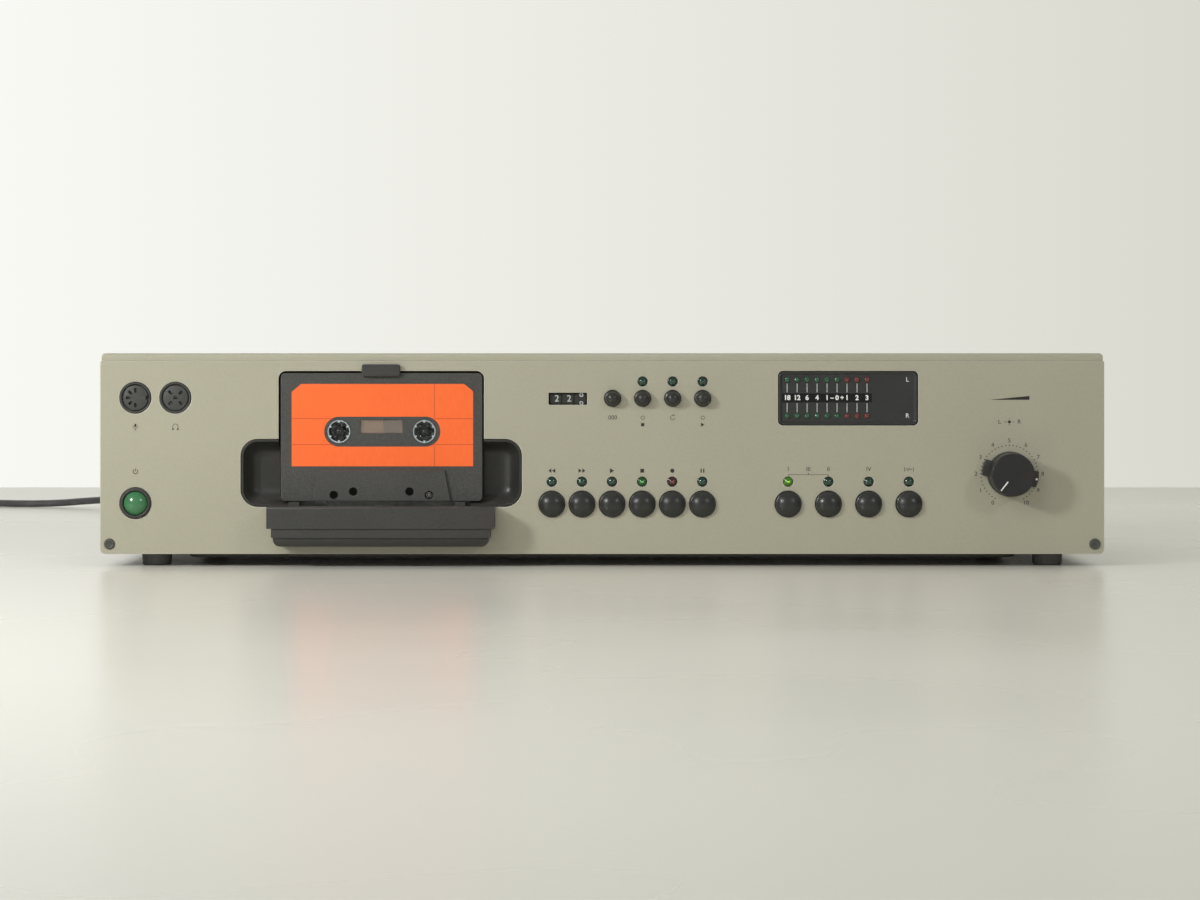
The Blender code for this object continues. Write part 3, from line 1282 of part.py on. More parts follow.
def key_switches():
    bm = bmesh.new()
    half, bore = KEY_SWITCH_WIDTH / 2, KEY_SWITCH_BORE / 2
    back = BOARD_FRONT + GAP
    for _, x, z in LARGE_ROW + SMALL_ROW:
        rows = []
        for reach, depth in (
            (bore, BOARD_FRONT - KEY_SWITCH_FLOOR), (bore, KEY_SWITCH_FRONT), (half, KEY_SWITCH_FRONT),
            (half, back),
        ):
            square = rectangle(x - reach, x + reach, z - reach, z + reach)
            rows.append([bm.verts.new((a, depth, b)) for a, b in square])
        for one, other in zip(rows, rows[1:]):
            for i in range(4):
                j = (i + 1) % 4
                bm.faces.new((one[i], one[j], other[j], other[i]))
        bm.faces.new(rows[0])
        bm.faces.new(rows[-1])
    return add_object("key_switches", bm, "black_plastic")


def control_board():
    outline = rectangle(BOARD_LEFT, BOARD_RIGHT, PAN_FLOOR + GAP, BOARD_TOP, BOARD_CORNER, 1)
    room = 2 * COUNTER_WALL + WHEEL_RADIUS
    opening = rectangle(
        COUNTER_LEFT - 2 * COUNTER_WALL - GAP, COUNTER_RIGHT + 2 * COUNTER_WALL + GAP, COUNTER_Z - room,
        COUNTER_Z + room
    )
    board = plate("control_board", outline, BOARD_FRONT, BOARD_FRONT + BOARD_THICKNESS, "board", [opening])
    return unite(board, key_switches(), indicator_lamps())


def indicator_lamps():
    bm = bmesh.new()
    groups = (
        (LAMP_PLACES, LAMP_RADIUS, LAMP_PROUD, TINY_SIDES),
        (METER_LAMP_PLACES, METER_LAMP_RADIUS, METER_LAMP_PROUD - METER_FACE_RECESS, LEAST_SIDES),
    )
    for places, radius, proud, sides in groups:
        profile = dome(radius, radius / 2 - proud, -proud, sides // 4) + [
            (radius, BOARD_FRONT + GAP), (0, BOARD_FRONT + GAP)
        ]
        for x, z in places:
            turn_profile(bm, profile, sides, (x, 0, z))
    return add_object("indicator_lamps", bm, "lamp_green")


def meter_face():
    outline = rectangle(
        METER_LEFT + GAP, METER_RIGHT - GAP, METER_BOTTOM + GAP, METER_TOP - GAP, METER_CORNER - GAP
    )
    holes = [circle(METER_LAMP_RADIUS + GAP, LEAST_SIDES, x, z) for x, z in METER_LAMP_PLACES]
    back = METER_FACE_RECESS + METER_FACE_THICKNESS
    return plate("meter_face", outline, METER_FACE_RECESS, back, "meter_black", holes)


def counter_frame():
    # Two cheeks, the bridge behind the wheels and the axle that they turn on
    left = COUNTER_X - 1.5 * WHEEL_PITCH - 2 * GAP
    right = COUNTER_X + 1.5 * WHEEL_PITCH + 2 * GAP
    half = WHEEL_RADIUS - COUNTER_WALL
    back = AXLE_DEPTH + WHEEL_RADIUS + COUNTER_BRIDGE
    frame = box(
        "counter_frame", left - COUNTER_WALL, left, PANEL_BACK, back + COUNTER_WALL, COUNTER_Z - half,
        COUNTER_Z + half, "black_plastic",
    )
    cheek = box(
        "cheek", right, right + COUNTER_WALL, PANEL_BACK, back + COUNTER_WALL, COUNTER_Z - half,
        COUNTER_Z + half, "black_plastic",
    )
    bridge = box(
        "bridge", left - GAP, right + GAP, back, back + COUNTER_WALL, COUNTER_Z - half, COUNTER_Z + half,
        "black_plastic",
    )
    axle = turned(
        "axle",
        [
            (0, left - GAP), (WHEEL_AXLE_RADIUS, left - GAP),
            (WHEEL_AXLE_RADIUS, right + GAP), (0, right + GAP),
        ],
        TINY_SIDES, "black_plastic", (0, AXLE_DEPTH, COUNTER_Z), "X",
    )
    return unite(frame, cheek, bridge, axle)


def counter_wheel(name, index):
    half = WHEEL_WIDTH / 2
    bore = WHEEL_AXLE_RADIUS + RUNNING_GAP
    profile = [(bore, -half), (WHEEL_RADIUS, -half), (WHEEL_RADIUS, half), (bore, half)]
    return turned(
        name, profile, WHEEL_SIDES, "black_plastic",
        (COUNTER_X + index * WHEEL_PITCH, AXLE_DEPTH, COUNTER_Z), "X",
    )


def level_knob():
    front, rear = -KNOB_PROUD, -KNOB_REAR
    shaft_end = PANEL_BACK + POT_FRONT_GAP + SHAFT_REACH
    profile = [
        (0, front), (KNOB_RADIUS - KNOB_TAPER - KNOB_EDGE, front),
        (KNOB_RADIUS - KNOB_TAPER, front + KNOB_EDGE),
        (KNOB_RADIUS, rear), (KNOB_SHAFT_RADIUS, rear), (KNOB_SHAFT_RADIUS, shaft_end), (0, shaft_end),
    ]
    return turned("level_knob", profile, FINE_SIDES, "dark_plastic", (KNOB_X, 0, KNOB_Z))


def balance_ring():
    # Ring with two finger grips, on a sleeve that turns round the knob's shaft
    grips = []
    for centre in RING_GRIP_ANGLES:
        grips += [(centre - RING_GRIP_HALF_ANGLE, centre + RING_GRIP_HALF_ANGLE)]
    step = 360 / FINE_SIDES
    outline = []
    for i in range(FINE_SIDES):
        angle = -90 + i * step
        near = min(abs((angle - centre + 180) % 360 - 180) for centre in RING_GRIP_ANGLES)
        if near > RING_GRIP_HALF_ANGLE + step / 2:
            outline.append((angle, RING_RADIUS))
    for low, high in grips:
        outline += [
            (low - RING_GRIP_LEAN, RING_RADIUS), (low, RING_GRIP_RADIUS),
            ((low + high) / 2, RING_GRIP_RADIUS),
            (high, RING_GRIP_RADIUS), (high + RING_GRIP_LEAN, RING_RADIUS),
        ]
    outline.sort(key=lambda entry: (entry[0] + 90) % 360)
    points = [(r * math.cos(math.radians(a)), r * math.sin(math.radians(a))) for a, r in outline]
    bore = circle(RING_SLEEVE_BORE, SMALL_SIDES)
    place = (KNOB_X, 0, KNOB_Z)
    ring = plate("balance_ring", points, -KNOB_REAR + GAP, -RING_REAR, "dark_plastic", [bore], place)
    sleeve_end = PANEL_BACK + POT_FRONT_GAP + SLEEVE_REACH
    sleeve = plate(
        "sleeve", circle(RING_SLEEVE_RADIUS, SMALL_SIDES), -RING_REAR - GAP, sleeve_end, "dark_plastic",
        [bore], place,
    )
    return unite(ring, sleeve)


def level_potentiometer():
    half = POT_WIDTH / 2
    front = PANEL_BACK + POT_FRONT_GAP
    body = plate(
        "level_potentiometer",
        rectangle(KNOB_X - half, KNOB_X + half, KNOB_Z - half, KNOB_Z + half, POT_CORNER, 1),
        front, front + POT_LENGTH, "zinc_steel",
    )
    wide = plate(
        "wide_bore", circle(RING_SLEEVE_RADIUS + RUNNING_GAP, SMALL_SIDES, KNOB_X, KNOB_Z),
        front - OVERRUN, front + SLEEVE_REACH + RUNNING_GAP, "zinc_steel",
    )
    narrow = plate(
        "narrow_bore", circle(KNOB_SHAFT_RADIUS + RUNNING_GAP, SMALL_SIDES, KNOB_X, KNOB_Z),
        front, front + SHAFT_REACH + RUNNING_GAP, "zinc_steel",
    )
    return cut(body, wide, narrow)


# Sockets and the power button
def pin_holes(angles, centre=False):
    places = [
        (SOCKET_PIN_CIRCLE * math.cos(math.radians(a)), SOCKET_PIN_CIRCLE * math.sin(math.radians(a)))
        for a in angles
    ]
    if centre:
        places.append((0, 0))
    holes = [circle(SOCKET_PIN_RADIUS, LEAST_SIDES, x, z) for x, z in places]
    return holes


def socket_body(name, place, holes):
    profile = [
        (0, 0), (SOCKET_INSERT_RADIUS, 0), (SOCKET_INSERT_RADIUS, SOCKET_GROOVE_DEPTH),
        (SOCKET_GROOVE_OUTER, SOCKET_GROOVE_DEPTH),
        (SOCKET_GROOVE_OUTER, -GAP), (SOCKET_RADIUS, -GAP),
        (SOCKET_RADIUS, PANEL_BACK), (SOCKET_FLANGE, PANEL_BACK),
        (SOCKET_FLANGE, PANEL_BACK + SOCKET_FLANGE_THICKNESS),
        (SOCKET_RADIUS, PANEL_BACK + SOCKET_FLANGE_THICKNESS),
        (SOCKET_RADIUS, SOCKET_LENGTH), (0, SOCKET_LENGTH),
    ]
    body = turned(name, profile, SMALL_SIDES, "black_plastic", place)
    cutters = plates("pins", [(hole, -OVERRUN, SOCKET_PIN_DEPTH) for hole in holes], "black_plastic", place)
    return cut(body, cutters)


def power_bezel():
    bore = POWER_CAP_RADIUS + GAP
    front = -BEZEL_PROUD
    profile = [
        (bore, front + BEZEL_PROUD / 2), (bore + GAP * 2, front), (BEZEL_RADIUS - GAP * 2, front),
        (BEZEL_RADIUS, front + BEZEL_PROUD / 2),
        (BEZEL_RADIUS, PANEL_BACK), (BEZEL_FLANGE, PANEL_BACK),
        (BEZEL_FLANGE, PANEL_BACK + BEZEL_FLANGE_THICKNESS),
        (bore + COUNTER_WALL, PANEL_BACK + BEZEL_FLANGE_THICKNESS),
        (bore + COUNTER_WALL, BEZEL_LENGTH), (bore, BEZEL_LENGTH),
    ]
    return turned("power_bezel", profile, ROUND_SIDES, "black_plastic", (POWER_X, 0, POWER_Z))


def power_button():
    stem_end = SWITCH_FRONT + SWITCH_LENGTH / 4
    profile = dome(POWER_CAP_RADIUS, POWER_DOME - POWER_PROUD, -POWER_PROUD, 2)
    profile += [
        (POWER_CAP_RADIUS, BEZEL_LENGTH), (POWER_STEM_RADIUS, BEZEL_LENGTH), (POWER_STEM_RADIUS, stem_end),
        (0, stem_end),
    ]
    return turned("power_button", profile, ROUND_SIDES, "green_plastic", (POWER_X, 0, POWER_Z))


def power_switch():
    half, tall = SWITCH_WIDTH / 2, SWITCH_HEIGHT / 2
    body = box(
        "power_switch", POWER_X - half, POWER_X + half, SWITCH_FRONT, SWITCH_FRONT + SWITCH_LENGTH,
        PAN_FLOOR + GAP, POWER_Z + tall, "black_plastic",
    )
    bore = plate(
        "switch_bore", circle(POWER_STEM_RADIUS + RUNNING_GAP, TINY_SIDES, POWER_X, POWER_Z),
        SWITCH_FRONT - OVERRUN, SWITCH_FRONT + SWITCH_LENGTH / 4 + POWER_TRAVEL + RUNNING_GAP,
        "black_plastic",
    )
    return cut(body, bore)


# Inside the case
def main_board():
    left, right = -MAIN_BOARD_WIDTH / 2, MAIN_BOARD_WIDTH / 2
    front, back = MAIN_BOARD_DEPTH, MAIN_BOARD_DEPTH + MAIN_BOARD_LENGTH
    low, top = MAIN_BOARD_HEIGHT, MAIN_BOARD_HEIGHT + BOARD_THICKNESS
    board = box("main_board", left, right, front, back, low, top, "board")
    parts = []
    for x in (left + STANDOFF_INSET, right - STANDOFF_INSET):
        for y in (front + STANDOFF_INSET, back - STANDOFF_INSET):
            foot = DISH_BOTTOM + PAN_SHEET + GAP
            parts.append(
                turned(
                    "standoff",
                    [(0, foot), (STANDOFF_RADIUS, foot), (STANDOFF_RADIUS, low + GAP), (0, low + GAP)],
                    TINY_SIDES, "board", (x, y, 0), "Z",
                )
            )
    for share in CHIP_ACROSS_SHARES:
        for row_share in CHIP_DEPTH_SHARES:
            x, y = left + MAIN_BOARD_WIDTH * share, front + MAIN_BOARD_LENGTH * row_share
            parts.append(
                box("chip", x, x + CHIP_LENGTH, y, y + CHIP_WIDTH, top - GAP, top + CHIP_HEIGHT, "board")
            )
    for share in CAPACITOR_SHARES:
        place = (right - 2 * CAPACITOR_RADIUS, front + MAIN_BOARD_LENGTH * share, 0)
        parts.append(
            turned(
                "capacitor",
                [
                    (0, top - GAP), (CAPACITOR_RADIUS, top - GAP),
                    (CAPACITOR_RADIUS, top + CAPACITOR_HEIGHT), (0, top + CAPACITOR_HEIGHT),
                ],
                SMALL_SIDES, "board", place, "Z",
            )
        )
    return unite(board, *parts, *transformer(top - GAP))


def transformer(foot):
    left, right = TRANSFORMER_X - TRANSFORMER_WIDTH / 2, TRANSFORMER_X + TRANSFORMER_WIDTH / 2
    top = foot + TRANSFORMER_HEIGHT
    middle = TRANSFORMER_DEPTH + TRANSFORMER_LENGTH / 2
    core = box("core", left, right, middle - TRANSFORMER_CORE / 2, middle + TRANSFORMER_CORE / 2, foot, top)
    outline = rectangle(
        left + COIL_MARGIN, right - COIL_MARGIN, foot + COIL_MARGIN, top - COIL_MARGIN, COIL_MARGIN, 2
    )
    winding = plate("winding", outline, TRANSFORMER_DEPTH, TRANSFORMER_DEPTH + TRANSFORMER_LENGTH, "copper")
    return core, winding


def rear_socket():
    # The same socket, turned round and set so that its flange lies behind the back panel
    inward = PANEL_THICKNESS - BACK_THICKNESS
    body = socket_body(
        "rear_socket", (REAR_SOCKET_X, CASE_DEPTH + inward, REAR_SOCKET_Z),
        pin_holes((90, 135, 180, 225, 270)),
    )
    body.rotation_euler.z = math.pi
    return body


def strain_relief():
    inner = -BACK_THICKNESS - GAP
    profile = [
        (0, inner - RELIEF_NECK_RADIUS), (RELIEF_BODY_RADIUS, inner - RELIEF_NECK_RADIUS),
        (RELIEF_BODY_RADIUS, inner),
    ]
    profile += [(RELIEF_NECK_RADIUS, inner), (RELIEF_NECK_RADIUS, GAP), (RELIEF_BODY_RADIUS, GAP)]
    for i in range(RELIEF_RIBS):
        at = RELIEF_LENGTH * (i + 0.5) / RELIEF_RIBS
        share = (i + 0.5) / RELIEF_RIBS
        radius = RELIEF_BODY_RADIUS + (RELIEF_TIP_RADIUS - RELIEF_BODY_RADIUS) * share
        profile += [
            (radius, at), (radius - GAP * 2, at + GAP),
            (radius - GAP * 2, at + RELIEF_LENGTH / RELIEF_RIBS / 2),
        ]
    profile += [(RELIEF_TIP_RADIUS - GAP * 2, RELIEF_LENGTH), (0, RELIEF_LENGTH)]
    return turned("strain_relief", profile, TINY_SIDES, "rubber", (RELIEF_X, CASE_DEPTH, RELIEF_Z))


# Mains lead. The route's points are in the deck's world frame.
def coil_points():
    pitch = 2 * LEAD_RADIUS + COIL_TURN_GAP
    total = 2 * COIL_TURNS + 0.5
    points = []
    for i in range(int(total * COIL_POINTS) + 1):
        turns = i / COIL_POINTS
        climb = min(1, max(0, (turns - COIL_TURNS) / 0.5))
        radius = COIL_RADIUS - pitch * min(turns, total - turns)
        height = LEAD_REST + pitch * (1 - math.cos(math.pi * climb)) / 2
        a = math.radians(COIL_START) + TURN * turns
        points.append(
            Vector((COIL_CENTRE[0] + radius * math.cos(a), COIL_CENTRE[1] + radius * math.sin(a), height))
        )
    first = (points[0] - points[1]).normalized()
    last = (points[-1] - points[-2]).normalized()
    first.z = last.z = 0
    return [points[0] + first * COIL_TAIL] + points + [points[-1] + last * COIL_LEAD_OUT]


def least_gap(points):
    # Least clear distance between stretches of the coil that aren't neighbours
    least = math.inf
    apart = COIL_POINTS // 3
    for i, one in enumerate(points):
        for other in points[i + apart:]:
            least = min(least, (one - other).length)
    return least - 2 * LEAD_RADIUS


def tube(name, points, resolution):
    curve = bpy.data.curves.new(name, "CURVE")
    curve.dimensions = "3D"
    curve.bevel_depth = LEAD_RADIUS
    curve.bevel_resolution = resolution
    curve.use_fill_caps = True
    spline = curve.splines.new("POLY")
    spline.points.add(len(points) - 1)
    for spot, point in zip(spline.points, points):
        spot.co = (*point, 1)
    curve.materials.append(finish("cord"))
    thing = bpy.data.objects.new(name, curve)
    bpy.context.collection.objects.link(thing)
    return thing


def smooth_route(points, spacing):
    # Points at even steps along a Catmull-Rom curve through the route's own points
    padded = [2 * points[0] - points[1], *points, 2 * points[-1] - points[-2]]
    fine = []
    for a, b, c, d in zip(padded, padded[1:], padded[2:], padded[3:]):
        for i in range(40):
            t = i / 40
            fine.append(
                0.5 * (
                    2 * b + (c - a) * t + (
                        2 * a - 5 * b + 4 * c - d
                    ) * t**2 + (3 * b - a - 3 * c + d) * t**3
                )
            )
    fine.append(points[-1])
    route, walked = [fine[0]], 0
    for one, other in zip(fine, fine[1:]):
        walked += (other - one).length
        if walked >= spacing:
            route.append(other)
            walked = 0
    if (route[-1] - points[-1]).length < spacing / 2:
        route.pop()
    return route + [points[-1]]


def lead_route():
    coil = coil_points()
    meet = coil[0] + (coil[0] - coil[1]).normalized() * GAP
    along = (coil[0] - coil[1]).normalized()
    exit_y = FRONT_Y + CASE_DEPTH + RELIEF_LENGTH + GAP
    own = [
        (RELIEF_X, exit_y, RELIEF_Z),
        (RELIEF_X, exit_y + LEAD_STRAIGHT, RELIEF_Z),
        (-0.1560, 0.2300, 0.0195),
        (-0.1850, 0.3200, 0.0130),
        (-0.2400, 0.4150, 0.0100),
        (-0.3000, 0.4820, 0.0080),
        (-0.3510, 0.5190, 0.0056),
        (-0.3870, 0.5330, 0.0028),
        (-0.4250, 0.5420, LEAD_REST),
    ]
    route = [Vector(point) for point in own] + [meet + along * COIL_TAIL, meet]
    return smooth_route(route, LEAD_RADIUS * LEAD_STEP_SHARE)


def mains_plug():
    coil = coil_points()
    end = coil[-1]
    along = (coil[-1] - coil[-2]).normalized()
    across = Vector((-along.y, along.x, 0))
    rise = PLUG_THICKNESS / 2 - end.z
    rows = []
    neck_end, shoulder = (PLUG_LENGTH * share for share in PLUG_SHARES)
    stations = (
        (0, PLUG_NECK_WIDTH, PLUG_NECK_THICKNESS), (neck_end, PLUG_NECK_WIDTH, PLUG_NECK_THICKNESS),
        (shoulder, PLUG_WIDTH, PLUG_THICKNESS), (PLUG_LENGTH, PLUG_WIDTH, PLUG_THICKNESS),
    )
    for at, width, thickness in stations:
        lift = rise * min(1, at / shoulder)
        ring = rectangle(-width / 2, width / 2, -thickness / 2, thickness / 2, PLUG_CORNER, 2)
        base = end + along * (GAP + at)
        rows.append([base + across * a + Vector((0, 0, b + lift)) for a, b in ring])
    body = skin("mains_plug", rows, "cord", parent=None)
    face = end + along * (GAP + PLUG_LENGTH) + Vector((0, 0, rise))
    for sign in (-1, 1):
        centre = face + across * sign * PIN_SPACING / 2
        pin = []
        for reach in (-PLUG_CORNER, PIN_LENGTH):
            pin.append(
                [centre + along * reach + across * a + Vector((0, 0, b))
                for a, b in circle(PIN_RADIUS, TINY_SIDES)]
            )
        body = unite(body, skin("pin", pin, "zinc_steel", parent=None))
    return body


def mains_lead():
    coil = coil_points()
    print(f"least gap in the coil: {least_gap(coil) * 1000:.2f} mm")
    tube("mains_lead_coil", coil, 1)
    tube("mains_lead", lead_route(), 2)
    mains_plug()


front_panel()
top_cover()
bottom_pan()
back_panel()
for side, foot_x in (("left", -FOOT_X), ("right", FOOT_X)):
    foot(f"foot_front_{side}", foot_x, FOOT_FRONT_DEPTH)
    foot(f"foot_back_{side}", foot_x, CASE_DEPTH - FOOT_BACK_MARGIN)
well_liner()
head_cover()
cassette_catch()
cassette_shell("cassette_front_shell", -1)
cassette_shell("cassette_back_shell", 1)
cassette_window()
cassette_hub("cassette_hub_left", -1, LEFT_PACK_RADIUS)
cassette_hub("cassette_hub_right", 1, RIGHT_PACK_RADIUS)
spindle("spindle_left", -1)
spindle("spindle_right", 1)
transport_plate()
flywheel()
motor("drive_motor", MOTOR_X, CAPSTAN_Z, MOTOR_RADIUS, MOTOR_LENGTH)
motor_pulley()
reel_wheel()
drive_belt()
head_carriage()
pinch_roller()
for key, key_x, key_z in LARGE_ROW:
    button(
        f"button_{key}", key_x, key_z, BUTTON_RADIUS, BUTTON_PROUD, BUTTON_DOME, BUTTON_FLANGE, SMALL_SIDES
    )
for key, key_x, key_z in SMALL_ROW:
    button(f"button_{key}", key_x, key_z, SMALL_RADIUS, SMALL_PROUD, SMALL_DOME, SMALL_FLANGE, LITTLE_SIDES)
control_board()
meter_face()
counter_frame()
counter_wheel("counter_wheel_hundreds", -1)
counter_wheel("counter_wheel_tens", 0)
counter_wheel("counter_wheel_units", 1)
level_knob()
balance_ring()
level_potentiometer()
socket_body("microphone_socket", (SOCKET_X[0], 0, SOCKET_Z), pin_holes((90, 135, 180, 225, 270)))
socket_body("headphone_socket", (SOCKET_X[1], 0, SOCKET_Z), pin_holes((45, 135, 225, 315), True))
power_bezel()
power_button()
power_switch()
main_board()
rear_socket()
strain_relief()
mains_lead()
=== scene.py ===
import bpy, bmesh, json, math
from mathutils import Matrix, Vector

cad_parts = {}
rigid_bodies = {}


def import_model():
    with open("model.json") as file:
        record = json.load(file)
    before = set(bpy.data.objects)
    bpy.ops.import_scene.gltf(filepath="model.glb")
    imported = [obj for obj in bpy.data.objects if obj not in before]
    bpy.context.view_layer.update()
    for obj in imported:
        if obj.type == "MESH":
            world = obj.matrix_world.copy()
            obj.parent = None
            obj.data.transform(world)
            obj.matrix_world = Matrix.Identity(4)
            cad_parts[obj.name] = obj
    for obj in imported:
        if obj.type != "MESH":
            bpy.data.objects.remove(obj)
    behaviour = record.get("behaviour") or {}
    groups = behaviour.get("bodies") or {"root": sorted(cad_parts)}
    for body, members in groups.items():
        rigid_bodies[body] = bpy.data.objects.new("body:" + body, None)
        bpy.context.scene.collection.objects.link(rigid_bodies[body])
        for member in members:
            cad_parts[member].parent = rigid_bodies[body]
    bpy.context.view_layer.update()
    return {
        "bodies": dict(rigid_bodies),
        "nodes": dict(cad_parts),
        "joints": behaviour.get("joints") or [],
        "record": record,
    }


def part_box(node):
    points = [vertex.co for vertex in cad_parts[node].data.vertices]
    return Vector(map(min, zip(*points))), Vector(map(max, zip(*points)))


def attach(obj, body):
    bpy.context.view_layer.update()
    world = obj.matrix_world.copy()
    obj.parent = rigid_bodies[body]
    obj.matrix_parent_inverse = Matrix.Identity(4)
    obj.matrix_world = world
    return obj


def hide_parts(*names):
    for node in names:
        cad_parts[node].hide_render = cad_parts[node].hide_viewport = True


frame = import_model()
nodes = frame["nodes"]
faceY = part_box("top_cover")[0][1]  # the front panel's face
mm = 0.001
print("frame loaded:", len(nodes), "nodes")

# Camera level with the cover's top edge; the shift frames the heights as the photograph does
view = {"place": (-0.0011, -1.734, 0.1003), "lens": 96.4, "shiftY": -0.0708}
cameraData = bpy.data.cameras.new("frontView")
cameraData.lens, cameraData.sensor_width = view["lens"], 36
cameraData.shift_y = view["shiftY"]
cameraData.clip_start = 0.01
camera = bpy.data.objects.new("frontView", cameraData)
bpy.context.collection.objects.link(camera)
camera.location = view["place"]
camera.rotation_euler = (math.radians(90), 0, 0)
bpy.context.scene.camera = camera

# Lamps: a small close one at the upper left, a softer one at the upper right and broad ones in front
# and above. Those marked soft leave no glint.
lamps = {
    "keyLamp": {"place": (-0.75, -0.8, 0.45), "aim": (0, -0.134, 0.05), "size": 0.17, "power": 5.5},
    "sideLamp": {"place": (1.6, -2.0, 1.2), "aim": (0, -0.134, 0.04), "size": 0.4, "power": 7.5},
    "frontLamp": {"place": (-0.4, -1.1, 0.7), "aim": (0, 0, 0.05), "size": 0.6, "power": 2.6, "soft": True},
    "lowLamp": {"place": (0, -2.4, 0.14), "aim": (0, 0, 0.03), "size": 0.5, "power": 7.0, "soft": True},
    "topLamp": {"place": (0, 0.1, 1.6), "aim": (0, 0, 0), "size": 1.4, "power": 6, "soft": True},
}
for name, lamp in lamps.items():
    light = bpy.data.lights.new(name, "AREA")
    light.shape, light.size, light.energy = "DISK", lamp["size"], lamp["power"]
    holder = bpy.data.objects.new(name, light)
    bpy.context.collection.objects.link(holder)
    holder.location = lamp["place"]
    holder.rotation_euler = (Vector(lamp["aim"]) - Vector(lamp["place"])).to_track_quat("-Z",
        "Y").to_euler()
    holder.visible_camera = False
    holder.visible_glossy = not lamp.get("soft", False)
sky = {"Color": (1, 0.995, 0.98, 1), "Strength": 0.25}
world = bpy.data.worlds.new("studio")
bpy.context.scene.world = world
world.use_nodes = True
for socket, value in sky.items():
    world.node_tree.nodes["Background"].inputs[socket].default_value = value
bpy.context.scene.view_settings.view_transform = "Standard"
print("camera and lamps placed")


# Node tools: inputs are given as values or as sockets to link
def setInputs(tree, node, inputs):
    for socket, value in inputs.items():
        if isinstance(value, bpy.types.NodeSocket):
            tree.links.new(value, node.inputs[socket])
        else:
            node.inputs[socket].default_value = value


def treeNode(tree, kind, inputs=None, **settings):
    # Gives the new node's outputs
    node = tree.nodes.new(kind)
    for setting, value in settings.items():
        setattr(node, setting, value)
    setInputs(tree, node, inputs or {})
    return node.outputs


def shaderNode(tree, kind, inputs=None, **settings):
    return treeNode(tree, "ShaderNode" + kind, inputs, **settings)


def shaderGroup(name, inputs, outputs):
    tree = bpy.data.node_groups.new(name, "ShaderNodeTree")
    for direction, labels in (("INPUT", inputs), ("OUTPUT", outputs)):
        for label in labels:
            kind = "Vector" if label == "Vector" else "Float"
            tree.interface.new_socket(label, in_out=direction, socket_type="NodeSocket" + kind)
    return tree, tree.nodes.new("NodeGroupInput").outputs, tree.nodes.new("NodeGroupOutput")


def mathNode(tree, operation, one, other=0.0, clamp=False):
    return shaderNode(tree, "Math", {0: one, 1: other}, operation=operation, use_clamp=clamp)[0]


def mixColour(tree, share, one, other):
    return shaderNode(tree, "Mix", {0: share, 6: one, 7: other}, data_type="RGBA")[2]


def shaded(tree, tint, factor):
    return shaderNode(tree, "VectorMath", {0: tint, "Scale": factor}, operation="SCALE")[0]


def rangeNode(tree, value, low, high, toLow=0.0, toHigh=1.0):
    return shaderNode(tree, "MapRange", {0: value, 1: low, 2: high, 3: toLow, 4: toHigh}, clamp=True)[0]


# Grain of moulded plastic or paint: fine noise with pebbles, and wide soft patches
def mouldedGrainGroup():
    tree, given, result = shaderGroup("mouldedGrain", ("Vector", "Grain Size", "Pebble", "Patch Size"),
        ("Height", "Speckle", "Patch"))
    place = given["Vector"]
    scale = mathNode(tree, "DIVIDE", 1.0, given["Grain Size"])
    fine = shaderNode(tree, "TexNoise", {"Vector": place, "Scale": scale, "Detail": 3.0})
    cells = shaderNode(tree, "TexVoronoi", {"Vector": place, "Scale": scale}, feature="SMOOTH_F1")
    speck = mathNode(tree, "MULTIPLY", scale, 0.7)
    speckle = shaderNode(tree, "TexNoise", {"Vector": place, "Scale": speck, "Detail": 1.0})
    patchScale = mathNode(tree, "DIVIDE", 1.0, given["Patch Size"])
    wide = shaderNode(tree, "TexNoise", {"Vector": place, "Scale": patchScale, "Detail": 2.0})
    kept = mathNode(tree, "MULTIPLY", fine[0], mathNode(tree, "SUBTRACT", 1.0, given["Pebble"]))
    pebbles = mathNode(tree, "MULTIPLY", cells["Distance"], given["Pebble"])
    setInputs(tree, result, {"Height": mathNode(tree, "ADD", kept, pebbles),
        "Speckle": rangeNode(tree, speckle[0], 0.3, 0.7, -1.0, 1.0),
        "Patch": rangeNode(tree, wide[0], 0.3, 0.7, -1.0, 1.0)})
    return tree


# Wear: a mask along rounded edges, broken up by noise
def edgeWearGroup():
    tree, given, result = shaderGroup("edgeWear", ("Vector", "Radius"), ("Mask",))
    bevel = shaderNode(tree, "Bevel", {"Radius": given["Radius"]}, samples=4)
    plain = shaderNode(tree, "NewGeometry")
    turned = shaderNode(tree, "VectorMath", {0: bevel[0], 1: plain["Normal"]}, operation="DOT_PRODUCT")
    edge = rangeNode(tree, turned["Value"], 0.995, 0.85)
    broken = shaderNode(tree, "TexNoise", {"Vector": given["Vector"], "Scale": 220.0, "Detail": 4.0})
    patchy = rangeNode(tree, broken[0], 0.38, 0.62)
    setInputs(tree, result, {"Mask": mathNode(tree, "MULTIPLY", edge, patchy)})
    return tree


# Dust that settles on what faces up
def settledDustGroup():
    tree, given, result = shaderGroup("settledDust", ("Vector", "Amount"), ("Mask",))
    facing = shaderNode(tree, "SeparateXYZ", {0: shaderNode(tree, "NewGeometry")["Normal"]})
    upward = rangeNode(tree, facing["Z"], 0.5, 0.98)
    cloud = shaderNode(tree, "TexNoise", {"Vector": given["Vector"], "Scale": 28.0, "Detail": 6.0})
    specks = shaderNode(tree, "TexNoise", {"Vector": given["Vector"], "Scale": 900.0, "Detail": 1.0})
    loose = mathNode(tree, "ADD", rangeNode(tree, cloud[0], 0.3, 0.8),
        rangeNode(tree, specks[0], 0.64, 0.7))
    settled = mathNode(tree, "MULTIPLY", upward, loose)
    setInputs(tree, result, {"Mask": mathNode(tree, "MULTIPLY", settled, given["Amount"], True)})
    return tree


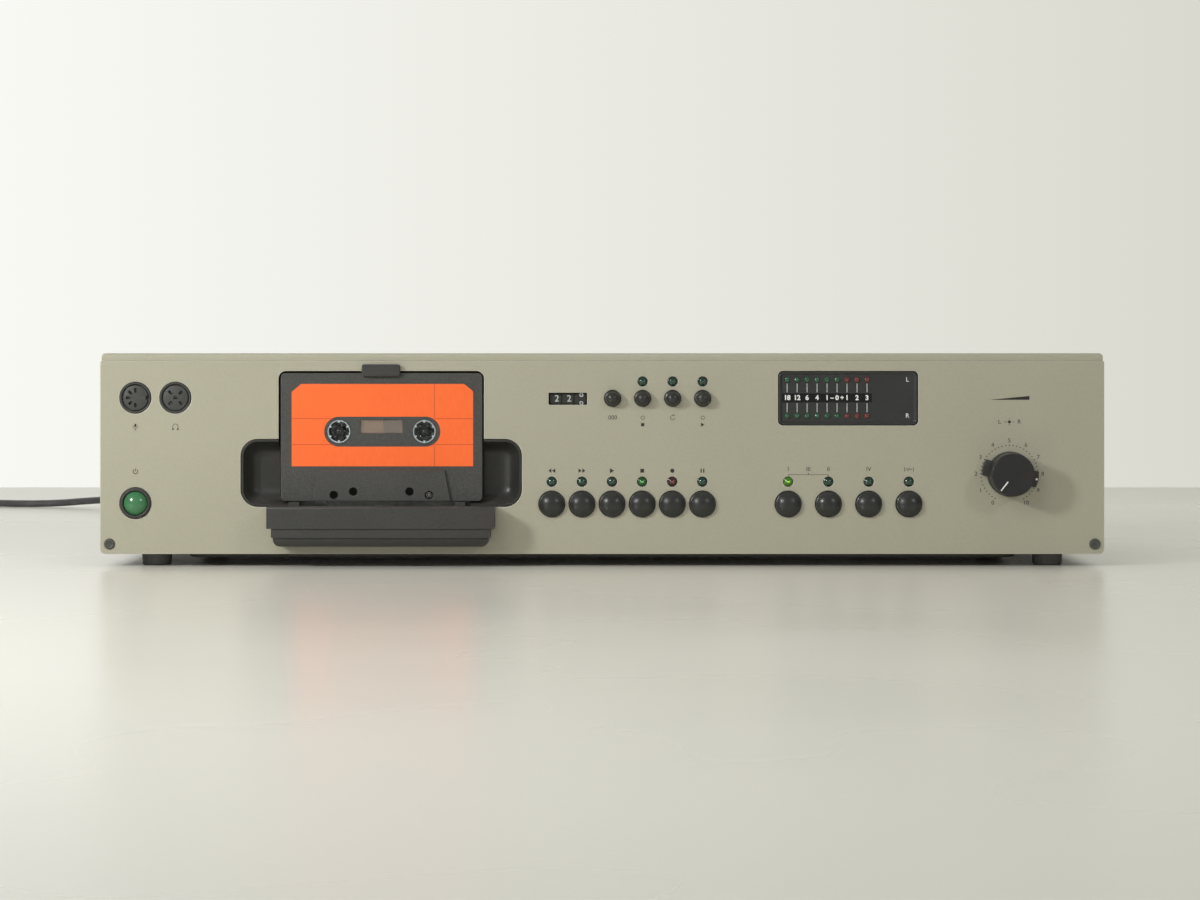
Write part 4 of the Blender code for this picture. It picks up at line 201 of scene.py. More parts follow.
# Lines drawn along one direction, for brushed or turned metal and for tape wound on a hub
def drawnLinesGroup():
    tree, given, result = shaderGroup("drawnLines", ("Vector", "Spacing", "Waver"), ("Height",))
    scale = mathNode(tree, "DIVIDE", 1.0, given["Spacing"])
    reach = shaderNode(tree, "VectorMath", {0: given["Vector"]}, operation="LENGTH")["Value"]
    lines = shaderNode(tree, "TexNoise", {"W": mathNode(tree, "MULTIPLY", reach, scale), "Scale": 1.0,
        "Detail": 2.0}, noise_dimensions="1D")
    wavering = shaderNode(tree, "TexNoise", {"Vector": given["Vector"], "Scale": 60.0})
    waver = mathNode(tree, "MULTIPLY", wavering[0], given["Waver"])
    setInputs(tree, result, {"Height": mathNode(tree, "ADD", lines[0], waver)})
    return tree


mouldedGrain, edgeWear = mouldedGrainGroup(), edgeWearGroup()
settledDust, drawnLines = settledDustGroup(), drawnLinesGroup()


def tone(red, green, blue):
    # A colour as the photograph shows it, 0 to 255, made linear
    return tuple(((c / 255 + 0.055) / 1.055) ** 2.4 for c in (red, green, blue)) + (1,)


def scaled(colour, factor):
    return tuple(min(1, c * factor) for c in colour[:3]) + (1,)


# Every finish starts from these values, with its grain, depth, patch and edge in millimetres
plainFinish = dict(roughness=0.5, metallic=0, specular=0.5, coat=0, coatRoughness=0.1, alpha=1, grain=0.5,
    pebble=0.4, bump=0.25, depth=0.04, speckle=0.05, patch=30, patches=0.04, gloss=0.05, wear=0,
    wearTone=1.7, wearShine=0.15, edge=0.35, dust=0.12, dustDull=0.3, glow=0)
dustTone = tone(186, 182, 170)


def surface(name, colour, pattern=None, **changes):
    # pattern(tree, place, colour, height) may change the colour and the height before wear and dust
    look = plainFinish | changes
    grainSize, depth, patch, edge = [look[key] * mm for key in ("grain", "depth", "patch", "edge")]
    colour = tone(*colour)
    material = bpy.data.materials.new(name)
    material.use_nodes = True
    tree = material.node_tree
    place = shaderNode(tree, "TexCoord")["Object"]
    grain = shaderNode(tree, "Group", {"Vector": place, "Grain Size": grainSize, "Pebble": look["pebble"],
        "Patch Size": patch}, node_tree=mouldedGrain)
    tint = mixColour(tree, rangeNode(tree, grain["Patch"], -1.0, 1.0), scaled(colour, 1 - look["patches"]),
        scaled(colour, 1 + look["patches"]))
    light = rangeNode(tree, grain["Speckle"], -1.0, 1.0, 1 - look["speckle"], 1 + look["speckle"])
    tint, height = shaded(tree, tint, light), grain["Height"]
    if pattern:
        tint, height = pattern(tree, place, tint, height)
    rough = rangeNode(tree, grain["Patch"], -1.0, 1.0, look["roughness"] - look["gloss"],
        look["roughness"] + look["gloss"])
    if look["wear"]:
        worn = shaderNode(tree, "Group", {"Vector": place, "Radius": edge}, node_tree=edgeWear)
        share = mathNode(tree, "MULTIPLY", worn["Mask"], look["wear"])
        tint = mixColour(tree, share, tint, scaled(colour, look["wearTone"]))
        rough = mathNode(tree, "SUBTRACT", rough, mathNode(tree, "MULTIPLY", share, look["wearShine"]),
            True)
    if look["dust"]:
        dusty = shaderNode(tree, "Group", {"Vector": place, "Amount": look["dust"]}, node_tree=settledDust)
        tint = mixColour(tree, dusty["Mask"], tint, dustTone)
        dull = mathNode(tree, "MULTIPLY", dusty["Mask"], look["dustDull"])
        rough = mathNode(tree, "ADD", rough, dull, True)
    bump = shaderNode(tree, "Bump", {"Strength": look["bump"], "Distance": depth, "Height": height})
    values = {"Base Color": tint, "Roughness": rough, "Normal": bump[0], "Metallic": look["metallic"],
        "Specular IOR Level": look["specular"], "Coat Weight": look["coat"],
        "Coat Roughness": look["coatRoughness"], "Alpha": look["alpha"]}
    if look["glow"]:
        values |= {"Emission Color": tint, "Emission Strength": look["glow"]}
    setInputs(tree, tree.nodes["Principled BSDF"], values)
    return material


# Patterns that only some finishes have
def turnedLines(centre, spacing, strength):
    # Fine rings round an axis along y, as a lathe or a wound tape leaves
    def pattern(tree, place, tint, height):
        turned = shaderNode(tree, "Mapping", {"Vector": place, "Location": (-centre[0], 0, -centre[1]),
            "Scale": (1, 0, 1)})
        lines = shaderNode(tree, "Group", {"Vector": turned[0], "Spacing": spacing, "Waver": 0.3},
            node_tree=drawnLines)[0]
        shade = rangeNode(tree, lines, 0.3, 1.0, 1 - strength, 1 + strength)
        return shaded(tree, tint, shade), mathNode(tree, "ADD", height, lines)
    return pattern


def paperFibres(tree, place, tint, height):
    # Long soft fibres and the fine dots of a printed colour
    stretched = shaderNode(tree, "Mapping", {"Vector": place, "Scale": (900, 900, 260)})
    fibres = shaderNode(tree, "TexNoise", {"Vector": stretched[0], "Scale": 1.0, "Detail": 5.0})[0]
    dots = shaderNode(tree, "TexVoronoi", {"Vector": place, "Scale": 5200.0})
    shade = mathNode(tree, "ADD", rangeNode(tree, fibres, 0.3, 0.7, 0.965, 1.02),
        rangeNode(tree, dots["Distance"], 0.0, 0.6, -0.02, 0.02))
    return shaded(tree, tint, shade), mathNode(tree, "ADD", height, fibres)


def boardParts(*parts):
    # One solid carries board and parts: what lies between two levels along an axis takes its own colour
    def pattern(tree, place, tint, height):
        parted = shaderNode(tree, "SeparateXYZ", {0: place})
        tint = shaderNode(tree, "TexBrick", {"Vector": place, "Color1": tint, "Color2": tint,
            "Mortar": tone(70, 124, 74), "Scale": 1.0, "Mortar Size": 0.35 * mm, "Brick Width": 11 * mm,
            "Row Height": 3.1 * mm})["Color"]
        for axis, low, high, colour in parts:
            above = mathNode(tree, "GREATER_THAN", parted[axis], low)
            below = mathNode(tree, "LESS_THAN", parted[axis], high)
            tint = mixColour(tree, mathNode(tree, "MULTIPLY", above, below), tint, tone(*colour))
        return tint, height
    return pattern


def rubbedCord(tree, place, tint, height):
    # Faint dull rubbing along a vinyl lead
    rubbed = shaderNode(tree, "TexNoise", {"Vector": place, "Scale": 130.0, "Detail": 3.0})
    return shaded(tree, tint, rangeNode(tree, rubbed[0], 0.4, 0.7, 0.92, 1.25)), height


def middle(node):
    low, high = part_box(node)
    return (low[0] + high[0]) / 2, (low[2] + high[2]) / 2


clearGlass = dict(roughness=0.18, coat=0.7, patch=1.4, patches=0.4, dust=0)
finishLooks = {
    "panelPaint": ((165, 162, 143), dict(roughness=0.48, specular=0.35, grain=0.35, pebble=0.3, bump=0.35,
        depth=0.02, speckle=0.035, patch=45, patches=0.012, gloss=0.04, wear=0.35, wearTone=1.35,
        dust=0.05)),
    "panelRim": ((196, 194, 178), dict(roughness=0.4, metallic=0.3, grain=0.3, speckle=0.04, patches=0.03,
        dust=0.05)),
    "coverPaint": ((164, 161, 142), dict(roughness=0.52, specular=0.35, grain=0.45, pebble=0.6, bump=0.45,
        depth=0.03, speckle=0.045, patch=60, patches=0.015, wear=0.45, wearTone=1.3, dust=0.22)),
    "panPaint": ((116, 116, 110), dict(roughness=0.16, grain=0.6, bump=0.2, depth=0.03, patch=50,
        patches=0.08, gloss=0.06, wear=0.5, wearTone=2.4)),
    "backPaint": ((58, 58, 57), dict(roughness=0.45, bump=0.4, speckle=0.08, wear=0.5, wearTone=2.2)),
    "blackMoulding": ((58, 58, 55), dict(specular=0.45, grain=0.4, pebble=0.5, bump=0.5, speckle=0.14,
        patches=0.05, wear=0.45, wearTone=2.0)),
    "linerPlastic": ((48, 48, 45), dict(roughness=0.42, bump=0.3, depth=0.03, speckle=0.06, patch=12,
        patches=0.06, gloss=0.07, wear=0.35, wearTone=1.8)),
    "buttonPlastic": ((44, 45, 42), dict(roughness=0.33, grain=0.3, bump=0.2, depth=0.02, patch=8,
        patches=0.07, gloss=0.06, dust=0.06)),
    "knobPlastic": ((38, 38, 37), dict(roughness=0.42, grain=0.25, bump=0.3, depth=0.02, speckle=0.07,
        patch=9, patches=0.06, wear=0.4, wearTone=2.2)),
    "socketPlastic": ((62, 63, 60), dict(roughness=0.48, grain=0.25, bump=0.4, speckle=0.1, wear=0.6,
        wearTone=1.8)),
    "shellPlastic": ((68, 68, 65), dict(specular=0.45, grain=0.42, pebble=0.6, bump=0.7, depth=0.06,
        speckle=0.22, wear=0.4, dust=0.08)),
    "labelPaper": ((243, 108, 52), dict(pattern=paperFibres, roughness=0.55, specular=0.3, grain=0.3,
        bump=0.15, depth=0.02, speckle=0.012, patches=0.02, dust=0.03)),
    "labelInk": ((176, 66, 38), dict(roughness=0.6, speckle=0.08, dust=0)),
    # A painted highlight, reddish, along the top edge of the cassette's raised step
    "labelInkDark": ((112, 58, 44), dict(roughness=0.6, speckle=0.1, dust=0)),
    "greenPlastic": ((60, 116, 74), dict(roughness=0.25, specular=0.55, coat=0.25, coatRoughness=0.15,
        grain=0.6, bump=0.05, patch=6, patches=0.06, gloss=0.03, dust=0.02)),
    "hubPlastic": ((176, 186, 188), dict(roughness=0.4, grain=0.4, wear=0.3, wearTone=1.2, dust=0.05)),
    "spindlePlastic": ((34, 34, 34), dict(roughness=0.2, specular=0.6, grain=0.3, patches=0.1, wear=0.6,
        wearTone=3)),
    "windowPlastic": ((160, 150, 138), dict(roughness=0.28, alpha=0.34, grain=0.8, bump=0.1, patch=7,
        dust=0.05)),
    "printInk": ((42, 41, 37), dict(roughness=0.55, grain=0.3, speckle=0.1, patches=0.06, dust=0)),
    "whitePrint": ((232, 233, 228), dict(grain=0.3, speckle=0.03, dust=0)),
    "meterPlastic": ((51, 52, 50), dict(roughness=0.34, grain=0.4, depth=0.02, speckle=0.07, patch=14,
        patches=0.05, wear=0.4, wearTone=2.2, dust=0.03)),
    "wheelPlastic": ((50, 50, 47), dict(roughness=0.45, speckle=0.12, dust=0)),
    "wheelPrint": ((196, 201, 196), dict(speckle=0.06, dust=0)),
    "meterBand": ((17, 17, 17), dict(roughness=0.25, speckle=0.1, dust=0)),
    "barPaint": ((178, 187, 184), dict(roughness=0.4, dust=0)),
    "lensOff": ((22, 50, 36), dict(roughness=0.16, specular=0.6, coat=0.7, grain=0.3, bump=0.1, patch=2,
        patches=0.25, dust=0)),
    "lensMark": ((52, 92, 64), dict(roughness=0.3, speckle=0.2, dust=0)),
    "lensGreen": ((24, 60, 26), clearGlass | dict(glow=0.4)),
    "lensGreenMark": ((84, 190, 62), dict(roughness=0.3, speckle=0.1, dust=0, glow=0.6)),
    "lensYellow": ((50, 86, 12), clearGlass | dict(glow=0.6)),
    "lensYellowMark": ((132, 196, 30), dict(roughness=0.3, speckle=0.1, dust=0, glow=0.9)),
    "lensRed": ((60, 30, 27), clearGlass | dict(patches=0.3)),
    "lensRedMark": ((168, 86, 80), dict(roughness=0.3, speckle=0.1, dust=0)),
    "meterGreen": ((40, 84, 58), dict(roughness=0.2, coat=0.6, patch=1.2, patches=0.35, dust=0)),
    "meterRed": ((100, 46, 42), dict(roughness=0.2, coat=0.6, patch=1.2, patches=0.3, dust=0)),
    "footRubber": ((86, 86, 84), dict(roughness=0.62, pebble=0.7, bump=0.6, depth=0.05, speckle=0.12,
        wear=0.4, dust=0.25)),
    "softRubber": ((38, 38, 38), dict(roughness=0.6, grain=0.4, bump=0.4, speckle=0.1)),
    "cordVinyl": ((78, 78, 78), dict(pattern=rubbedCord, roughness=0.42, grain=0.8, bump=0.3, depth=0.05,
        patch=25, patches=0.1, dust=0.15)),
    "screwSteel": ((84, 84, 80), dict(roughness=0.42, metallic=0.25, grain=0.3, bump=0.4, speckle=0.15,
        wear=0.9, wearTone=3.2, edge=0.2)),
    "zincSteel": ((170, 172, 168), dict(roughness=0.34, metallic=0.85, grain=1.6, pebble=0.8, bump=0.15,
        speckle=0.12, patch=14, patches=0.12, gloss=0.1, wear=0.3, wearTone=1.2)),
    "spunSteel": ((190, 190, 186), dict(pattern=turnedLines(middle("flywheel"), 0.25 * mm, 0.12),
        roughness=0.26, metallic=0.95, wear=0.3, wearTone=1.2)),
}
finishes = {name: surface(name, colour, **look) for name, (colour, look) in finishLooks.items()}
print("finishes made:", len(bpy.data.materials))

# Floor and wall: one pale sheet with a soft bend; the camera sees the wall at its own pale colour with
# painted light, lighter at the left and darker at the right, and the floor's painted light grows paler away
# from the camera
studio = {"wallY": 0.95, "bend": 0.05, "width": 4.0, "front": -4.0, "height": 3.0, "bendSteps": 8,
    "paler": (-0.5, 0.4, 0.9, 1.1), "wallLitLeft": (249, 249, 244), "wallShadedRight": (217, 217, 207)}


# Painted light on the floor: its colour grows paler away from the camera
def palerAway(tree, place, tint, height):
    away = shaderNode(tree, "SeparateXYZ", {0: place})["Y"]
    return shaded(tree, tint, rangeNode(tree, away, *studio["paler"])), height


def studioSheet():
    bend, wallY, steps = studio["bend"], studio["wallY"], studio["bendSteps"]
    angles = [math.pi / 2 * i / steps for i in range(steps + 1)]
    profile = [(studio["front"], 0)]
    profile += [(wallY - bend + bend * math.sin(a), bend - bend * math.cos(a)) for a in angles]
    profile.append((wallY, studio["height"]))
    bm = bmesh.new()
    rows = [[bm.verts.new((x, y, z)) for y, z in profile] for x in (-studio["width"], studio["width"])]
    for i in range(len(profile) - 1):
        face = bm.faces.new((rows[0][i], rows[1][i], rows[1][i + 1], rows[0][i + 1]))
        face.material_index = 0 if i == 0 else 1
        face.smooth = i > 0
    mesh = bpy.data.meshes.new("studioSheet")
    bm.to_mesh(mesh)
    bm.free()
    floor = surface("floorSheet", (226, 224, 212), palerAway, roughness=0.28, specular=0.55, grain=2,
        bump=0.02, speckle=0.006, patch=300, patches=0.012, gloss=0.03, dust=0)
    wall = bpy.data.materials.new("wallSheet")
    wall.use_nodes = True
    tree = wall.node_tree
    plain = tree.nodes["Principled BSDF"]
    place = shaderNode(tree, "SeparateXYZ", {0: shaderNode(tree, "TexCoord")["Object"]})
    # Painted light on the wall: lighter at the left, painted shade towards the right
    across = rangeNode(tree, place["X"], -0.5, 0.5)
    pale = mixColour(tree, across, tone(*studio["wallLitLeft"]), tone(*studio["wallShadedRight"]))
    ray = shaderNode(tree, "LightPath")
    mirrored = mathNode(tree, "MAXIMUM", ray["Is Glossy Ray"], ray["Is Transmission Ray"])
    seen = mathNode(tree, "MAXIMUM", ray["Is Camera Ray"], mirrored)
    glow = shaderNode(tree, "Emission", {"Color": pale, "Strength": 1.0})
    shown = shaderNode(tree, "MixShader", {0: seen, 1: plain.outputs[0], 2: glow[0]})
    tree.links.new(pale, plain.inputs["Base Color"])
    tree.links.new(shown[0], tree.nodes["Material Output"].inputs["Surface"])
    mesh.materials.append(floor)
    mesh.materials.append(wall)
    sheet = newObject("studioSheet", mesh)


def newObject(name, data):
    thing = bpy.data.objects.new(name, data)
    bpy.context.collection.objects.link(thing)
    return thing


studioSheet()
print("studio built")


def lengths(values=None, **named):
    # Numbers given in millimetres, alone, nested or by name, in metres
    if named or isinstance(values, dict):
        return {key: lengths(value) for key, value in (named or values).items()}
    if isinstance(values, (tuple, list)):
        return [lengths(value) for value in values]
    return values * mm


# Outlines in the panel's plane, as (x, z) points
def arc(x, z, radius, start, end, steps=8):
    angles = [math.radians(start + (end - start) * i / steps) for i in range(steps + 1)]
    return [(x + radius * math.cos(a), z + radius * math.sin(a)) for a in angles]


def circle(x, z, radius, sides=48):
    return arc(x, z, radius, 0, 360, sides)[:-1]


def rounded(left, right, low, high, corner, steps=8):
    return (arc(right - corner, high - corner, corner, 0, 90, steps)
        + arc(left + corner, high - corner, corner, 90, 180, steps)
        + arc(left + corner, low + corner, corner, 180, 270, steps)
        + arc(right - corner, low + corner, corner, 270, 360, steps))


def stroke(points, width):
    # Outline of a line drawn along points with square ends
    sides = [[], []]
    for i, (x, z) in enumerate(points):
        (ax, az), (bx, bz) = points[max(i - 1, 0)], points[min(i + 1, len(points) - 1)]
        length = math.hypot(bx - ax, bz - az)
        nx, nz = -(bz - az) / length * width / 2, (bx - ax) / length * width / 2
        sides[0].append((x + nx, z + nz))
        sides[1].append((x - nx, z - nz))
    return sides[0] + sides[1][::-1]


def depths(node):
    # A node's front and back, counted backwards from the panel's face as every depth below
    return [corner[1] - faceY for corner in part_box(node)]


def spot(x, depth, z):
    return (x, faceY + depth, z)


# Mesh tools
def evaluated(thing):
    # The object's mesh with its modifiers applied; the object itself goes
    graph = bpy.context.evaluated_depsgraph_get()
    mesh = bpy.data.meshes.new_from_object(thing.evaluated_get(graph), depsgraph=graph)
    bpy.data.objects.remove(thing)
    return mesh


def meshOf(bm):
    bmesh.ops.recalc_face_normals(bm, faces=bm.faces)
    mesh = bpy.data.meshes.new("part")
    bm.to_mesh(mesh)
    bm.free()
    return mesh


def loft(rings):
    # Skin through rings of points, with both ends closed
    bm = bmesh.new()
    rows = [[bm.verts.new(point) for point in ring] for ring in rings]
    for one, other in zip(rows, rows[1:]):
        for i in range(len(one)):
            j = (i + 1) % len(one)
            bm.faces.new((one[i], one[j], other[j], other[i]))
    bm.faces.new(rows[0][::-1])
    bm.faces.new(rows[-1])
    return meshOf(bm)


def revolve(profile, centre=(0, 0, 0), axis="Y", sides=64):
    # The profile's points are (radius, distance along the axis); a radius of zero closes the end
    bm = bmesh.new()
    rings = []
    for radius, along in profile:
        ring = []
        for i in range(1 if radius == 0 else sides):
            a = 2 * math.pi * i / sides
            across, up = radius * math.cos(a), radius * math.sin(a)
            offset = {"X": (along, across, up), "Y": (across, along, up), "Z": (across, up, along)}[axis]
            ring.append(bm.verts.new([c + o for c, o in zip(centre, offset)]))
        rings.append(ring)
    if profile[0][0] and profile[-1][0]:
        rings.append(rings[0])
    for one, other in zip(rings, rings[1:]):
        for i in range(sides):
            j = (i + 1) % sides
            corners = (one[i % len(one)], one[j % len(one)], other[j % len(other)], other[i % len(other)])
            corners = list(dict.fromkeys(corners))
            if len(corners) > 2:
                bm.faces.new(corners)
    return meshOf(bm)


def band(inner, outer, front, back):
    return [(inner, front), (outer, front), (outer, back), (inner, back)]


def plate(outlines, front, back, edge=0.0, steps=2, face=faceY):
    # Plate between two depths behind a face, with openings and rounded edges
    curve = bpy.data.curves.new("outline", "CURVE")
    curve.dimensions, curve.fill_mode = "2D", "BOTH"
    curve.extrude = (back - front) / 2 - edge
    curve.bevel_depth, curve.bevel_resolution, curve.offset = edge, steps, -edge
    for points in outlines:
        spline = curve.splines.new("POLY")
        spline.points.add(len(points) - 1)
        for point, (x, z) in zip(spline.points, points):
            point.co = (x, z, 0, 1)
        spline.use_cyclic_u = True
    mesh = evaluated(newObject("plate", curve))
    return upright(mesh, (0, face + (front + back) / 2, 0))


def upright(mesh, place, axis="X", angle=math.pi / 2):
    # Turns a mesh, from lying to facing the front unless told otherwise, and then places it
    mesh.transform(Matrix.Translation(place) @ Matrix.Rotation(angle, 4, axis))
    return mesh


def carve(mesh, *cutters, operation="DIFFERENCE"):
    for cutter in cutters:
        thing, tool = newObject("carved", mesh), newObject("tool", cutter)
        change = thing.modifiers.new("carve", "BOOLEAN")
        change.operation, change.object, change.solver = operation, tool, "EXACT"
        mesh = evaluated(thing)
        bpy.data.objects.remove(tool)
    return mesh


def soften(mesh, width, steps=2, angle=30):
    thing = newObject("softened", mesh)
    change = thing.modifiers.new("edges", "BEVEL")
    change.width, change.segments = width, steps
    change.limit_method, change.angle_limit = "ANGLE", math.radians(angle)
    return evaluated(thing)


def joined(*layers):
    # Meshes in one: each layer, a mesh or a list of them, takes the next material slot
    bm = bmesh.new()
    for slot, layer in enumerate(layers):
        for mesh in layer if isinstance(layer, list) else [layer]:
            first = len(bm.faces)
            bm.from_mesh(mesh)
            bm.faces.ensure_lookup_table()
            for face in bm.faces[first:]:
                face.material_index = slot
    return meshOf(bm)


def lettering(text, size, x, z, depth, proud, bold=0.0):
    # Generic numerals and letters as a thin raised print, centred on (x, z)
    curve = bpy.data.curves.new("numerals", "FONT")
    curve.body, curve.size, curve.offset = text, size, bold
    curve.align_x, curve.align_y = "CENTER", "CENTER"
    curve.extrude, curve.resolution_u = proud / 2, 4
    return upright(evaluated(newObject("numerals", curve)), spot(x, depth - proud / 2, z))


# Geometry Nodes: a shape repeated in steps, each one turned a little more than the one before
def repeatTree():
    tree = bpy.data.node_groups.new("repeatShape", "GeometryNodeTree")
    inputs = {"Shape": "Object", "Count": "Int", "Start": "Vector", "Step": "Vector",
        "First Turn": "Vector", "Turn": "Vector"}
    keys = {label: tree.interface.new_socket(label, in_out="INPUT",
        socket_type="NodeSocket" + kind).identifier for label, kind in inputs.items()}
    tree.interface.new_socket("Geometry", in_out="OUTPUT", socket_type="NodeSocketGeometry")
    given = tree.nodes.new("NodeGroupInput").outputs
    line = treeNode(tree, "GeometryNodeMeshLine", {"Count": given["Count"],
        "Start Location": given["Start"], "Offset": given["Step"]}, mode="OFFSET")
    index = tree.nodes.new("GeometryNodeInputIndex").outputs[0]
    turned = shaderNode(tree, "VectorMath", {0: given["Turn"], 1: index, 2: given["First Turn"]},
        operation="MULTIPLY_ADD")
    turning = treeNode(tree, "FunctionNodeEulerToRotation", {0: turned[0]})
    shape = treeNode(tree, "GeometryNodeObjectInfo", {0: given["Shape"]})
    placed = treeNode(tree, "GeometryNodeInstanceOnPoints", {"Points": line[0],
        "Instance": shape["Geometry"], "Rotation": turning[0]})
    real = treeNode(tree, "GeometryNodeRealizeInstances", {0: placed[0]})
    setInputs(tree, tree.nodes.new("NodeGroupOutput"), {0: real[0]})
    return tree, keys


repeatShape, repeatKeys = repeatTree()


def repeated(shape, count, start, step=(0, 0, 0), turn=(0, 0, 0), firstTurn=(0, 0, 0)):
    source = newObject("shape", shape)
    holder = newObject("repeated", bpy.data.meshes.new("repeated"))
    change = holder.modifiers.new("repeat", "NODES")
    change.node_group = repeatShape
    for label, value in (("Shape", source), ("Count", count), ("Start", start), ("Step", step),
            ("First Turn", firstTurn), ("Turn", turn)):
        change[repeatKeys[label]] = value
    mesh = evaluated(holder)
    bpy.data.objects.remove(source)
    return mesh


def piece(name, mesh, looks, body, *replaced, angle=35):
    # Clearing the old materials would put every face in the first slot, so the slots are noted before
    looks = looks.split()
    slots = [min(face.material_index, len(looks) - 1) for face in mesh.polygons]
    thing = newObject(name, mesh)
    mesh.materials.clear()
    for look in looks:
        mesh.materials.append(finishes[look])
    mesh.polygons.foreach_set("material_index", slots)
    mesh.shade_smooth()
    mesh.set_sharp_from_angle(angle=math.radians(angle))
    # Large plane faces are left flat, so that no shade creeps into them from their rounded edges
    level = [max(abs(part) for part in face.normal) < 0.99999 for face in mesh.polygons]
    mesh.polygons.foreach_set("use_smooth", level)
    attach(thing, body)
    if replaced:
        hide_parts(*replaced)
    return thing


def smoothCopy(node, width):
    # A CAD node's shape with its triangles merged and its edges softened
    bm = bmesh.new()
    bm.from_mesh(nodes[node].data)
    bmesh.ops.remove_doubles(bm, verts=bm.verts, dist=0.01 * mm)
    bmesh.ops.dissolve_limit(bm, angle_limit=math.radians(1), verts=bm.verts, edges=bm.edges)
    return soften(meshOf(bm), width)


# Mains lead: it leaves the relief, sags to the floor and ends in a flat coil with its plug
lead = {"radius": 0.0024, "length": 1.78, "sides": 12, "spacing": 0.012, "fineness": 40, "route": (
    (-0.15, 0.1751, 0.024), (-0.15, 0.1811, 0.024), (-0.156, 0.23, 0.0195), (-0.185, 0.32, 0.013),
    (-0.24, 0.415, 0.01), (-0.3, 0.482, 0.008), (-0.351, 0.519, 0.0056), (-0.387, 0.533, 0.0028),
    (-0.425, 0.542, 0.0025))}
coil = {"centre": (-0.52, 0.585), "radius": 0.0375, "turns": 3, "start": 35, "gap": 0.0007, "points": 24,
    "tail": 0.006, "leadOut": 0.026, "rest": 0.0025, "climb": 0.5}


def coilPoints():
    pitch = 2 * lead["radius"] + coil["gap"]
    total = 2 * coil["turns"] + coil["climb"]
    points = []
    for i in range(int(total * coil["points"]) + 1):
        turns = i / coil["points"]
        climb = min(1, max(0, (turns - coil["turns"]) / coil["climb"]))
        radius = coil["radius"] - pitch * min(turns, total - turns)
        height = coil["rest"] + pitch * (1 - math.cos(math.pi * climb)) / 2
        a = math.radians(coil["start"]) + 2 * math.pi * turns
        x, y = coil["centre"]
        points.append(Vector((x + radius * math.cos(a), y + radius * math.sin(a), height)))
    first = (points[0] - points[1]).normalized()
    last = (points[-1] - points[-2]).normalized()
    first.z = last.z = 0
    return [points[0] + first * coil["tail"]] + points + [points[-1] + last * coil["leadOut"]]


def smoothRoute(points):
    padded = [2 * points[0] - points[1], *points, 2 * points[-1] - points[-2]]
    fine = []
    for a, b, c, d in zip(padded, padded[1:], padded[2:], padded[3:]):
        for i in range(lead["fineness"]):
            t = i / lead["fineness"]
            bend = (2 * a - 5 * b + 4 * c - d) * t**2 + (3 * b - a - 3 * c + d) * t**3
            fine.append(0.5 * (2 * b + (c - a) * t + bend))
    fine.append(points[-1])
    route, walked = [fine[0]], 0
    for one, other in zip(fine, fine[1:]):
        walked += (other - one).length
        if walked >= lead["spacing"]:
            route.append(other)
            walked = 0
    return route


def tubeAlong(points):
    # A closed tube whose rings lean with the path, without twist
    rings, side, radius, sides = [], None, lead["radius"], lead["sides"]
    for i, point in enumerate(points):
        ahead = (points[min(i + 1, len(points) - 1)] - points[max(i - 1, 0)]).normalized()
        side = ahead.cross(Vector((0, 0, 1))) if side is None else side - ahead * side.dot(ahead)
        side.normalize()
        up = side.cross(ahead)
        angles = [2 * math.pi * j / sides for j in range(sides)]
        rings.append([point + side * radius * math.cos(a) + up * radius * math.sin(a) for a in angles])
    return loft(rings)


wound = coilPoints()
leadPath = smoothRoute([Vector(p) for p in lead["route"]] + [wound[0]]) + wound[1:]
print("lead length", round(sum((b - a).length for a, b in zip(leadPath, leadPath[1:])), 3))
leadTube = piece("mainsLeadTube", tubeAlong(leadPath), "cordVinyl", "deck", "mains_lead",
    "mains_lead_coil", angle=60)
plug = piece("mainsPlugBody", smoothCopy("mains_plug", 0.9 * mm), "softRubber", "deck", "mains_plug")

# Strain relief: a tapered sleeve with ribs, its collar inside the back panel
relief = lengths(collar=6.0, neck=4.4, base=6.0, tip=3.8, groove=0.7, bore=2.5, sheet=1.6, neckLength=0.2,
    bend=0.25, crown=0.1, fold=1.4)
ribs = {"count": 7, "crownEnd": 0.55, "grooveStart": 0.62, "grooveEnd": 0.95}


def strainRelief():
    front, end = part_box("strain_relief")[0][1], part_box("strain_relief")[1][1]
    x, z = middle("strain_relief")
    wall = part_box("top_cover")[1][1] + relief["fold"]  # the back panel's outer face
    inner, start = wall - relief["sheet"], wall + relief["neckLength"]
    bore, neck, groove, bend = relief["bore"], relief["neck"], relief["groove"], relief["bend"]
    profile = [(bore, front), (relief["collar"], front), (relief["collar"], inner), (neck, inner),
        (neck, start)]
    rib = (end - wall) / ribs["count"]
    for i in range(ribs["count"]):
        share = i / ribs["count"]
        radius = relief["base"] + (relief["tip"] - relief["base"]) * share
        first = start + (end - wall - relief["neckLength"]) * share
        profile += [(radius - bend, first), (radius, first + bend),
            (radius - relief["crown"], first + rib * ribs["crownEnd"]),
            (radius - groove, first + rib * ribs["grooveStart"]), (radius - groove,
            first + rib * ribs["grooveEnd"])]
    profile += [(relief["tip"] - groove, end), (bore, end)]
    piece("strainRelief", revolve(profile, (x, 0, z), sides=40), "softRubber", "deck", "strain_relief")


strainRelief()
print("lead, plug and relief built")

